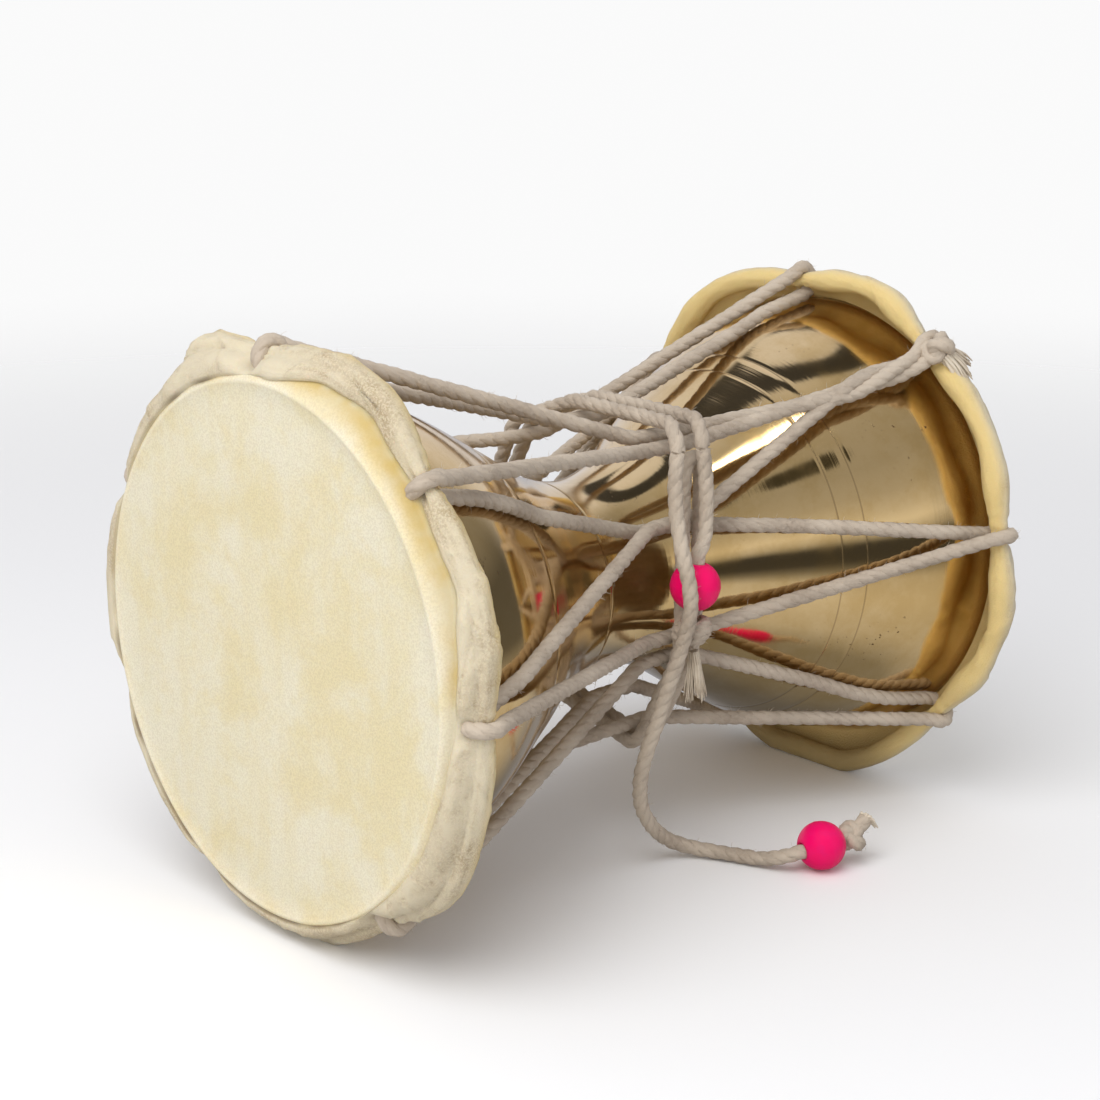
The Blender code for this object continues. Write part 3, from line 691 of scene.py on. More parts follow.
@dataclass(frozen=True)
class Drumhead:
    """A skin stretched over one rim, with its collar and the folded roll that holds the lacing."""

    name: str
    hoop: Hoop
    folds: float
    ledges: tuple
    pleats: tuple = ()
    lumps: tuple = ()
    # How much painted brass glow the back of the roll gets.
    warmth: float = 0.8
    # Painted shade on the underside of the roll, on its side towards the shell.
    painted_underside_shade: float = 0.0
    sections: int = 540
    ridge_radius: float = 0.0607
    ridge_round: float = 0.0012
    ridge_sag: float = 0.0027
    crown: float = 0.22
    # How dark the painted shade is in the gap line between the collar and the roll.
    seam: float = 0.70
    face: float = 0.0012
    disc_rings: int = 12
    collar_rings: int = 4
    flap_rings: int = 9
    roll_start: float = 14.0
    roll_end: float = 296.0
    roll_rings: int = 24
    foot_angle: float = -38.0

    def ledge(self, degrees: float) -> float:
        """The share of the collar that shows before the folded edge of the roll lies on it."""
        here = turn(degrees)
        first, last = self.ledges[0], self.ledges[-1]
        keys = [(last[0] - 360.0, last[1]), *self.ledges, (first[0] + 360.0, first[1])]
        wander = 0.05 * noise.noise(Vector((math.radians(degrees) * 9.0, self.hoop.end, 4.0)))
        for (a0, b0), (a1, b1) in zip(keys, keys[1:]):
            if a0 <= here <= a1:
                return min(0.97, b0 + (b1 - b0) * smoothstep(a0, a1, here) + wander)
        return 0.5

    def crumple(self, degrees: float, around: float) -> tuple[float, float]:
        """The relief of the roll.

        Args:
            degrees: The place round the drum.
            around: The place round the roll, in degrees.

        Returns:
            How far the skin stands out, and how much painted shade its folds get.
        """
        run = math.radians(degrees) * self.hoop.hoop_radius
        turned = math.radians(around)
        seed = 3.7 * self.hoop.end
        low = noise.noise(Vector((run * 62.0, turned * 0.8, seed)))
        fold = noise.noise(Vector((run * 46.0 + turned * 0.5, turned * 1.7 + run * 24.0, seed + 9.0)))
        fold_line = max(0.0, 1.0 - abs(fold) * 5.0) ** 2
        fine = noise.noise(Vector((run * 340.0, turned * 2.4 + run * 90.0, seed + 5.0)))
        close = math.exp(-(self.hoop.to_hole(degrees) * self.hoop.hoop_radius / 0.0065) ** 2)
        pucker = math.sin(run * 1900.0 + turned * 0.6) * close
        flap = 70.0 + 60.0 * noise.noise(Vector((run * 22.0, seed, 2.0)))
        step = smoothstep(flap - 6.0, flap + 6.0, around)
        out = 0.00036 * low - 0.00034 * fold_line + 0.00012 * fine + 0.00018 * pucker - 0.00026 * step
        # Painted shade along the fold lines and the flap's edge.
        crease = 0.55 * fold_line + 0.5 * max(0.0, 1.0 - abs(around - flap) / 8.0)
        out, crease = out * self.folds, crease * self.folds
        for place, lean, height, width in self.pleats:
            past = turn(degrees - place - lean * (around - 30.0) / 90.0)
            if 0.0 <= past < width:
                out += height * (1.0 - past / width) ** 1.3
            elif -0.9 < past < 0.0:
                out += height * (1.0 + past / 0.9)
                crease += 0.5 * (1.0 - abs(past + 0.5) / 0.5)
        for place, width, height in self.lumps:
            out += height * math.exp(-(turn(degrees - place) / width) ** 2) * smoothstep(-40.0, 60.0, around)
        return out, max(0.0, crease)

    def section(self, degrees: float) -> tuple[Route, dict[str, list[float]]]:
        """One cross section, from the middle of the face over the roll to the back.

        Args:
            degrees: The place round the drum.

        Returns:
            The points, and for each the marks that the finish reads.
        """
        angle = math.radians(degrees)
        hoop = self.hoop
        line: list[tuple[float, float]] = []
        marks: dict[str, list[float]] = {"ridge": [], "collar": [], "roll": [], "crease": [], "pit": [], "warm": []}

        def put(height: float, radius: float, **given: float) -> None:
            """Add one point with its marks."""
            line.append((height, radius))
            for key, table in marks.items():
                table.append(given.get(key, 0.0))

        ridge = self.ridge_radius + self.ridge_sag * max(0.0, -math.cos(angle - 0.1)) ** 2
        for k in range(1, self.disc_rings + 1):
            radius = (ridge - self.ridge_round) * (k / self.disc_rings) ** 0.8
            ripple = noise.noise(Vector((radius * math.sin(angle) * 40.0, radius * math.cos(angle) * 40.0, hoop.end)))
            put(self.face - 0.00035 + 0.00008 * ripple, radius)
        for k in range(5):
            lean = math.radians(114.0 - 14.0 * k)
            rounded = self.ridge_round
            # Each ring of the ridge's rounding gets its share of painted highlight.
            put(self.face - rounded + rounded * math.sin(lean), ridge + rounded * math.cos(lean),
                ridge=(0.3, 0.8, 1.0, 0.6, 0.2)[k])
        near_hole = hoop.to_hole(degrees) * hoop.hoop_radius
        distance = hoop.roll(degrees)

        def on_roll(around: float) -> tuple[float, float]:
            """A spot on the roll, as height and radius."""
            swing = math.radians(around)
            return distance * math.cos(swing) - hoop.setback, hoop.radius(degrees) + distance * math.sin(swing)

        top, foot = line[-1], on_roll(self.foot_angle)
        ledge = self.ledge(degrees)
        for k in range(1, self.collar_rings + 1):
            share = ledge * k / self.collar_rings
            crown = self.crown * 2 * share * (1 - share)
            # The last collar ring gets painted shade: the dark gap line where the roll's flap lies on the collar.
            seam = self.seam * smoothstep(0.15, 0.05, ledge) if k == self.collar_rings else 0.0
            put(top[0] + (foot[0] - top[0]) * (share - crown), top[1] + (foot[1] - top[1]) * (share + crown),
                collar=smoothstep(-0.1, 0.8, share), pit=seam)
        held = math.exp(-(near_hole / 0.0048) ** 2)
        lift = (0.00055 + 0.0002 * noise.noise(Vector((math.radians(degrees) * 14.0, 3.0, hoop.end)))) * (1.0 - held)
        base = line[-1]
        lip = (base[0] + lift, base[1] + 0.0001)
        join = on_roll(self.roll_start)
        swell = (lip[0] + 0.0012 * (1.0 - ledge) * (1.0 - held), join[1] - 0.25 * (join[1] - lip[1]))
        for k in range(self.flap_rings):
            share = k / self.flap_rings
            height = (1 - share) ** 2 * lip[0] + 2 * share * (1 - share) * swell[0] + share ** 2 * join[0]
            radius = (1 - share) ** 2 * lip[1] + 2 * share * (1 - share) * swell[1] + share ** 2 * join[1]
            out, crease = self.crumple(degrees, self.roll_start - 60.0 * (1.0 - share))
            fade = smoothstep(0.0, 0.3, share)
            # A dent round each cord hole, which also gets painted shade.
            pit = math.exp(-(near_hole / 0.0030) ** 2) * math.sin(math.pi * min(1.0, share * 1.1))
            depth = 0.0012 + 0.0016 * (1.0 - ledge)
            # The flap's first ring gets painted shade: the dark gap line on the collar and extra crease shade.
            shade = self.seam * smoothstep(0.15, 0.05, ledge) if k == 0 else 0.0
            put(height + out * 0.7 * fade - depth * pit, radius + out * 0.7 * fade - 0.0006 * pit,
                roll=1.0 if k else 0.5, crease=crease + (0.6 if k == 0 else 0.0), pit=max(0.45 * pit ** 2, shade))
        for k in range(self.roll_rings):
            around = self.roll_start + (self.roll_end - self.roll_start) * k / (self.roll_rings - 1)
            out, crease = self.crumple(degrees, around)
            swing = math.radians(around)
            body = distance + out
            height = body * math.cos(swing) - hoop.setback
            radius = hoop.radius(degrees) + body * math.sin(swing)
            # The back of the roll gets painted brass glow, and the far roll's underside gets painted shade.
            put(height, radius, roll=1.0, crease=crease, warm=self.warmth * smoothstep(60.0, 150.0, around),
                pit=self.painted_underside_shade * smoothstep(0.80, 0.96, -math.cos(angle)) * smoothstep(20.0, 110.0, around))
        # The skin behind the roll, inside the shell, gets the full painted brass glow.
        for height, radius in ((-0.0042, 0.0612), (-0.0012, 0.0604), (0.0003, 0.0603), (0.0003, 0.0300)):
            put(height, radius, roll=1.0, warm=1.0)
        points = [round_axis(hoop.along(h), r, angle) for h, r in line]
        for point in points:
            point.z = max(point.z, -hoop.rest_depth)
        return points, marks

    def build(self, finishes: Finishes) -> bpy.types.Object:
        """The skin as one closed piece."""
        sections = [self.section(360.0 * k / self.sections) for k in range(self.sections)]
        count = len(sections[0][0])
        rings = [in_place(section[0][i] for section in sections) for i in range(count)]
        marks = {key: [[section[1][key][i] for section in sections] for i in range(count)] for key in sections[0][1]}
        mesh = grid_mesh(self.name, rings, marks, False)
        node = "near_drumhead" if self.hoop.end < 0 else "far_drumhead"
        return show(self.name, mesh, finishes.skin, [node])


def route_tree(name: str, lengths: dict[str, float],
               counts: dict[str, int]) -> tuple[Wiring, bpy.types.NodeOutputs]:
    """An empty geometry tree that takes routes and a finish.

    Args:
        name: The tree's name.
        lengths: Its number inputs with their usual values.
        counts: Its whole number inputs with theirs.

    Returns:
        The tree's wiring and its given inputs.
    """
    tree = bpy.data.node_groups.new(name, "GeometryNodeTree")
    face = tree.interface
    face.new_socket(name="Geometry", in_out="INPUT", socket_type="NodeSocketGeometry")
    for values, kind in ((lengths, "NodeSocketFloat"), (counts, "NodeSocketInt")):
        for key, value in values.items():
            face.new_socket(name=key, in_out="INPUT", socket_type=kind).default_value = value
    face.new_socket(name="Finish", in_out="INPUT", socket_type="NodeSocketMaterial")
    face.new_socket(name="Geometry", in_out="OUTPUT", socket_type="NodeSocketGeometry")
    wire = Wiring(tree)
    return wire, wire.node("NodeGroupInput").outputs


def marked(wire: Wiring, curve: bpy.types.Node, name: str, value: bpy.types.NodeSocket) -> bpy.types.Node:
    """A curve whose points keep a value under a name."""
    return wire.node("GeometryNodeStoreNamedAttribute", {"Geometry": curve.outputs[0], "Name": name, "Value": value},
                     data_type="FLOAT", domain="POINT")


def swept(wire: Wiring, curve: bpy.types.Node, ring: bpy.types.Node, size: bpy.types.NodeSocket) -> bpy.types.Node:
    """A capped tube along a curve."""
    lines = {"Curve": curve.outputs[0], "Profile Curve": ring.outputs[0], "Scale": size, "Fill Caps": True}
    return wire.node("GeometryNodeCurveToMesh", lines)


def dressed(wire: Wiring, geometry: bpy.types.NodeSocket, finish: bpy.types.NodeSocket) -> bpy.types.NodeTree:
    """The tree, ended in real geometry with its finish."""
    real = wire.node("GeometryNodeRealizeInstances", {"Geometry": geometry})
    done = wire.node("GeometryNodeSetMaterial", {"Geometry": real.outputs[0], "Material": finish})
    wire.node("NodeGroupOutput", {"Geometry": done.outputs[0]})
    return wire.tree


def cord_tree() -> bpy.types.NodeTree:
    """The nodes that twist plies along a route and raise loose fibres from them."""
    wire, given = route_tree(
        "twisted_cord",
        {"Ply Offset": 0.00096, "Ply Radius": 0.00099, "Pitch": 0.0085, "Step": 0.0008, "Unevenness": 0.16,
         "Fuzz Density": 230000.0, "Fuzz Width": 0.000045},
        {"Plies": 3, "Sides": 7, "Seed": 4})
    line = wire.node("GeometryNodeMeshToCurve", {"Mesh": given["Geometry"]})
    even = wire.node("GeometryNodeResampleCurve", {"Curve": line.outputs[0], "Length": given["Step"]}, mode="LENGTH")
    plies = wire.node("GeometryNodeDuplicateElements", {"Geometry": even.outputs[0], "Amount": given["Plies"]},
                      domain="SPLINE")
    run = wire.node("GeometryNodeSplineParameter").outputs["Length"]
    start = wire.math("DIVIDE", wire.times(plies.outputs["Duplicate Index"], math.tau), given["Plies"])
    angle = wire.plus(start, wire.math("DIVIDE", wire.times(run, math.tau), given["Pitch"]))
    place = wire.node("GeometryNodeInputPosition").outputs[0]
    sway = wire.speckle(place, 90.0, 1.0)
    angle = wire.plus(angle, wire.times(sway, 2.2))
    normal = wire.node("GeometryNodeInputNormal").outputs[0]
    tangent = wire.node("GeometryNodeInputTangent").outputs[0]
    square = wire.vector("CROSS_PRODUCT", {0: tangent, 1: normal}).outputs[0]
    one, two = (wire.vector("SCALE", {0: way, "Scale": wire.times(wire.math(wave, angle), given["Ply Offset"])})
                for way, wave in ((normal, "COSINE"), (square, "SINE")))
    offset = wire.vector("ADD", {0: one.outputs[0], 1: two.outputs[0]}).outputs[0]
    strands = wire.node("GeometryNodeSetPosition", {"Geometry": plies.outputs[0], "Offset": offset})
    named = marked(wire, strands, "along", run)
    ring = wire.node("GeometryNodeCurvePrimitiveCircle", {"Resolution": given["Sides"], "Radius": given["Ply Radius"]})
    ring = marked(wire, ring, "around", wire.node("GeometryNodeSplineParameter").outputs["Factor"])
    lumps = wire.speckle(place, 520.0, 1.0, 0.5)
    size = wire.plus(1.0, wire.times(wire.math("SUBTRACT", lumps, 0.5), given["Unevenness"]))
    body = swept(wire, named, ring, size)
    body = wire.node("GeometryNodeSetShadeSmooth", {"Geometry": body.outputs[0]})
    points = wire.node("GeometryNodeDistributePointsOnFaces",
                       {"Mesh": body.outputs[0], "Density": given["Fuzz Density"], "Seed": given["Seed"]})
    arc = wire.node("GeometryNodeCurveQuadraticBezier", {"Resolution": 3, "Start": (0.0, 0.0, 0.0),
                                                         "Middle": (0.0002, 0.0, 0.0007),
                                                         "End": (0.0009, 0.0002, 0.0009)})
    flat = wire.node("GeometryNodeCurvePrimitiveLine", {"Start": (-1.0, 0.0, 0.0), "End": (1.0, 0.0, 0.0)})
    thinner = wire.times(wire.node("GeometryNodeSplineParameter").outputs["Factor"], 0.7)
    taper = wire.times(given["Fuzz Width"], wire.math("SUBTRACT", 1.0, thinner))
    hair = wire.node("GeometryNodeCurveToMesh", {"Curve": arc.outputs[0], "Profile Curve": flat.outputs[0],
                                                 "Scale": taper})
    spin = wire.node("FunctionNodeRandomValue", {0: (-1.0, -1.0, -1.0), 1: (1.0, 1.0, 1.0), "Seed": given["Seed"]},
                     data_type="FLOAT_VECTOR").outputs[0]
    lean = wire.vector("ADD", {0: points.outputs["Normal"], 1: spin}).outputs[0]
    rotation = wire.node("FunctionNodeAlignRotationToVector", {"Vector": lean}, axis="Z")
    stretch = wire.node("FunctionNodeRandomValue", {2: 0.45, 3: 1.5, "Seed": given["Seed"]},
                        data_type="FLOAT").outputs[1]
    fuzz = wire.node("GeometryNodeInstanceOnPoints", {"Points": points.outputs[0], "Instance": hair.outputs[0],
                                                      "Rotation": rotation.outputs[0], "Scale": stretch})
    both = wire.node("GeometryNodeJoinGeometry", {0: body.outputs[0]})
    wire.feed(both, {0: fuzz.outputs[0]})
    return dressed(wire, both.outputs[0], given["Finish"])


def fray_tree() -> bpy.types.NodeTree:
    """The nodes that give body to a bundle of loose yarns."""
    wire, given = route_tree("loose_yarns", {"Yarn Radius": 0.00014}, {"Sides": 5})
    line = wire.node("GeometryNodeMeshToCurve", {"Mesh": given["Geometry"]})
    parameter = wire.node("GeometryNodeSplineParameter").outputs
    named = marked(wire, line, "along", parameter["Length"])
    ring = wire.node("GeometryNodeCurvePrimitiveCircle", {"Resolution": given["Sides"], "Radius": given["Yarn Radius"]})
    size = wire.math("SUBTRACT", 1.0, wire.times(wire.math("POWER", parameter["Factor"], 3.0), 0.65))
    body = swept(wire, named, ring, size)
    smooth = wire.node("GeometryNodeSetShadeSmooth", {"Geometry": body.outputs[0]})
    return dressed(wire, smooth.outputs[0], given["Finish"])


class Trees:
    """The geometry trees, each built once."""

    made: dict[str, bpy.types.NodeTree] = {}
    makers = {"twisted_cord": cord_tree, "loose_yarns": fray_tree}

    @classmethod
    def run(cls, name: str, routes: Sequence[Route], inputs: dict[str, object]) -> bpy.types.Mesh:
        """Run one tree over some routes.

        Args:
            name: The tree's name.
            routes: The lines that it follows.
            inputs: Values for its named inputs.

        Returns:
            The plain mesh that it made.
        """
        if name not in cls.made:
            cls.made[name] = cls.makers[name]()
        tree = cls.made[name]
        points: Route = []
        edges: list[tuple[int, int]] = []
        for route in routes:
            edges += [(len(points) + k, len(points) + k + 1) for k in range(len(route) - 1)]
            points += route
        lines = bpy.data.meshes.new(name)
        lines.from_pydata(points, edges, [])
        host = linked(name, lines)
        modifier = host.modifiers.new(name, "NODES")
        modifier.node_group = tree
        for item in tree.interface.items_tree:
            if item.item_type == "SOCKET" and item.in_out == "INPUT" and item.name in inputs:
                modifier[item.identifier] = inputs[item.name]
        bpy.context.view_layer.update()
        evaluated = host.evaluated_get(bpy.context.evaluated_depsgraph_get())
        mesh = bpy.data.meshes.new_from_object(evaluated)
        mesh.materials.clear()
        mesh.materials.append(inputs["Finish"])
        mesh.polygons.foreach_set("material_index", [0] * len(mesh.polygons))
        host.modifiers.clear()
        bpy.data.objects.remove(host)
        return mesh


@dataclass(frozen=True)
class CordMake:
    """How the cotton cord is laid up."""

    radius: float = 0.00195
    pitch: float = 0.0105
    step: float = 0.0010
    sides: int = 7
    fuzz: float = 110000.0
    ply_share: float = 0.72

    def mesh(self, routes: Sequence[Route], surface: bpy.types.Material, seed: int,
             size: float = 1.0) -> bpy.types.Mesh:
        """The cord along some routes.

        Args:
            routes: The middle lines.
            surface: The finish.
            seed: What makes its fibres differ from those of other cords.
            size: Its thickness against the usual one.

        Returns:
            The mesh of its plies and loose fibres.
        """
        ply = self.radius * self.ply_share * size
        return Trees.run("twisted_cord", routes, {
            "Ply Radius": ply, "Ply Offset": self.radius * size - ply, "Pitch": self.pitch * size, "Step": self.step,
            "Fuzz Density": self.fuzz, "Sides": self.sides, "Seed": seed, "Finish": surface})


@dataclass(frozen=True)
class Waist:
    """Where the winding lies on the lacing."""

    along: float = 0.0075
    course: float = 0.0023
    gap: float = 0.0007
    spread: float = 0.0020
    bend: float = math.radians(20.0)
    top_bend: float = 0.0200
    bight: float = 0.0330
    corner: tuple = ((0.0014, 0.0040), (0.0042, 0.0054), (0.0076, 0.0060))
    corner_shift: float = 0.6
    dips: tuple = ((-1, 0.0095), (1, 0.0046))


@dataclass(frozen=True)
class Lacing:
    """The one long cord that pulls the two hoops together."""

    make: CordMake
    waist: Waist
    shell: BrassShell
    clearance: float = 0.0005
    turn_angles: tuple = (150.0, 112.0, 80.0, 45.0, 10.0, -25.0, -54.0, -78.0)
    sunk: float = 0.0004
    slack: float = 0.0007
    shoulder_shares: tuple = (0.10, 0.22, 0.36, 0.52, 0.70)
    start_lift: float = 0.0027
    start_shift: float = 4.0
    end_setback: float = 0.0165
    end_radius: float = 0.0616
    gather_from: tuple = (0.0890, 0.0428, 0.0520)
    gather_to: tuple = (0.0150, 0.0262, 0.0330)
    gather_twist: float = 9.0
    gather_shares: tuple = (0.10, 0.20, 0.30, 0.38)
    gather_width: float = 0.92
    gather_turns: dict = field(default_factory=lambda: {0: 150.0, 3: 270.0, 4: 30.0})
    stops: tuple = (
        (FAR_HOOP, 1, False, (0.0362, 0.0262)), (NEAR_HOOP, 1, True, (0.0154, 0.0236)),
        (FAR_HOOP, 2, False, (-0.0115, 0.0276)), (NEAR_HOOP, 2, True, (0.0174, 0.0281)),
        (FAR_HOOP, 1, False, (0.0384, 0.0218)), (NEAR_HOOP, 0, True, (0.0385, -0.0040)),
        (FAR_HOOP, 0, False, (0.0310, -0.0240)), (NEAR_HOOP, 6, True, (0.0155, -0.0315)),
        (FAR_HOOP, 6, False, (0.0020, -0.0330)), (NEAR_HOOP, 5, True, (-0.0125, -0.0320)),
        (FAR_HOOP, 5, False, (-0.0270, -0.0240)), (NEAR_HOOP, 4, False, (-0.0370, 0.0150)),
        (FAR_HOOP, 3, True, (-0.0170, 0.0260)), (NEAR_HOOP, 3, True, (-0.0300, 0.0090)),
        (FAR_HOOP, 4, True, None))

    def hoop_turn(self, hoop: Hoop, hole: int, comes_over: bool) -> Route:
        """The cord round the roll and through the hole, from over the hoop or from inside."""
        degrees = hoop.holes[hole]
        distance = hoop.roll(degrees) + self.make.radius - self.sunk
        points = [hoop.spot(degrees, around, distance + self.slack * smoothstep(10.0, -50.0, around))
                  for around in self.turn_angles]
        return points if comes_over else points[::-1]

    def gathered(self, stop: int) -> Route:
        """Where the strands of one hole are drawn together before they part to the waist.

        Args:
            stop: The number of the run in the chain.

        Returns:
            The spots from the hoop to the waist, none for other strands.
        """
        if stop not in self.gather_turns:
            return []
        found = []
        for share in self.gather_shares:
            middle = at(*self.gather_from).lerp(at(*self.gather_to), share)
            angle = math.radians(self.gather_turns[stop]) + share * self.gather_twist
            out = Vector((0.0, math.cos(angle), math.sin(angle))) * (self.make.radius * self.gather_width)
            found.append(middle + out)
        return found

    def shoulders(self, start: Vector, end: Vector) -> Route:
        """The places between start and end where the shell pushes a cord outwards."""
        found = []
        for share in self.shoulder_shares:
            point = start.lerp(end, share)
            out = Vector((0.0, point.y, point.z))
            clear = self.shell.radius(point.x) + self.make.radius + self.clearance
            if out.length < clear:
                out *= clear / out.length
                found.append(Vector((point.x, out.y, out.z)))
        return found

    def route(self) -> Route:
        """The middle line of the whole cord, from its knot on the far hoop to the one behind it."""
        turns = [self.hoop_turn(*stop[:3]) for stop in self.stops]
        first = turns[0][-1]
        lifted = math.hypot(first.y, first.z) + self.start_lift
        turns[0] = [round_axis(first.x, lifted, math.radians(FAR_HOOP.holes[1] + self.start_shift))]
        dips = dict(self.waist.dips)
        points: Route = []
        for k, (stop, here, arriving) in enumerate(zip(self.stops, turns, turns[1:])):
            end, (up, side) = stop[0].end, stop[3]
            under = [at(self.waist.along + way * dips[way], side, up) for way in (end, -end)]
            leaving = self.gathered(k) if end > 0 else []
            joining = self.gathered(k) if end < 0 else []
            points += here + leaving + self.shoulders((here + leaving)[-1], under[0]) + under
            points += self.shoulders((joining[::-1] + arriving)[0], under[1])[::-1] + joining[::-1]
        last = turns[-1][-1]
        angle = math.atan2(-last.y, last.z)
        points += turns[-1] + [round_axis(FAR_HOOP.along(-self.end_setback), self.end_radius, angle)]
        return relaxed(even_route(points, 0.0010), 4)

    def build(self, finishes: Finishes) -> bpy.types.Object:
        """The lacing with its twisted plies."""
        mesh = self.make.mesh([in_place(self.route())], finishes.cord, 11)
        return show("lacing_rope", mesh, finishes.cord, ["lacing_cord"])


@dataclass(frozen=True)
class Winding:
    """The doubled cord round the lacing at the waist."""

    make: CordMake
    waist: Waist
    lacing: Lacing
    short: tuple
    long: tuple
    straight_out: float = 0.0018
    fit_gap: float = 0.0003

    def hull(self, spots: Iterable[tuple[float, float]]) -> list[tuple[float, float]]:
        """The convex outline of (side, up) spots, anticlockwise."""
        ordered = sorted(set(spots))
        chains = []
        for order in (ordered, ordered[::-1]):
            chain: list[tuple[float, float]] = []
            for spot in order:
                while len(chain) > 1:
                    (ax, ay), (bx, by) = chain[-2], chain[-1]
                    if (bx - ax) * (spot[1] - ay) - (by - ay) * (spot[0] - ax) > 0:
                        break
                    chain.pop()
                chain.append(spot)
            chains.append(chain[:-1])
        return chains[0] + chains[1]

    def outline(self) -> list[tuple[float, float]]:
        """The winding's middle line round the lacing, as (side, up)."""
        corners = self.hull((side, up) for up, side in (stop[3] for stop in self.lacing.stops[:-1]))
        reach = 2 * self.make.radius + self.waist.gap
        outline = []
        for before, here, after in zip(corners[-1:] + corners[:-1], corners, corners[1:] + corners[:1]):
            start = math.atan2(before[0] - here[0], here[1] - before[1])
            end = math.atan2(here[0] - after[0], after[1] - here[1])
            sweep = (end - start) % math.tau
            steps = max(1, math.ceil(sweep / self.waist.bend))
            for k in range(steps + 1):
                angle = start + sweep * k / steps
                outline.append((here[0] + reach * math.cos(angle), here[1] + reach * math.sin(angle)))
        return outline

    def along(self, end: int, up: float) -> float:
        """Where one course lies along the axis."""
        return self.waist.along + end * (self.waist.course + self.waist.spread * max(0.0, up) / 0.06)

    def route(self) -> Route:
        """Over the top, round below and up the front, and the same way back."""
        outline = self.outline()
        first = max(range(len(outline)), key=lambda i: outline[i][0] + outline[i][1])
        outline = outline[first:] + outline[:first]
        top_end = next(i for i, spot in enumerate(outline) if spot[0] < self.waist.top_bend)
        loop = [spot for spot in outline[top_end:] if spot[0] <= 0 or spot[1] <= self.waist.bight]
        front = loop[-1][0]
        courses = []
        for end, free in ((1, self.short), (-1, self.long)):
            leaves = at(*free[0])
            away = (leaves - at(*free[1])).normalized()
            course = [at(self.along(end, up), side, up) for side, up in loop]
            course.append(at(self.along(end, 0.0), front, self.waist.bight))
            bends = [leaves + away * distance for distance in (self.fit_gap, self.straight_out)]
            for back, rise in self.waist.corner:
                share = back / self.waist.corner[-1][0] * self.waist.corner_shift
                along = leaves.x + (course[0].x - leaves.x) * share
                bends.append(Vector((along, leaves.y + back, leaves.z + rise)))
            courses.append(bends + course)
        return relaxed(smooth_route(courses[0] + courses[1][::-1], 0.0012), 2)

    def build(self, finishes: Finishes) -> bpy.types.Object:
        """The winding with its twisted plies."""
        mesh = self.make.mesh([in_place(self.route())], finishes.cord, 23)
        return show("waist_winding", mesh, finishes.cord, ["waist_cord"])


class KnotForm(Enum):
    """The ways in which a cord's end is stopped."""

    OVERHAND = "overhand"
    WOUND = "wound"


def square_to(direction: Vector) -> tuple[Vector, Vector]:
    """Two directions square to each other and to the given one."""
    first = direction.orthogonal().normalized()
    return first, direction.cross(first).normalized()


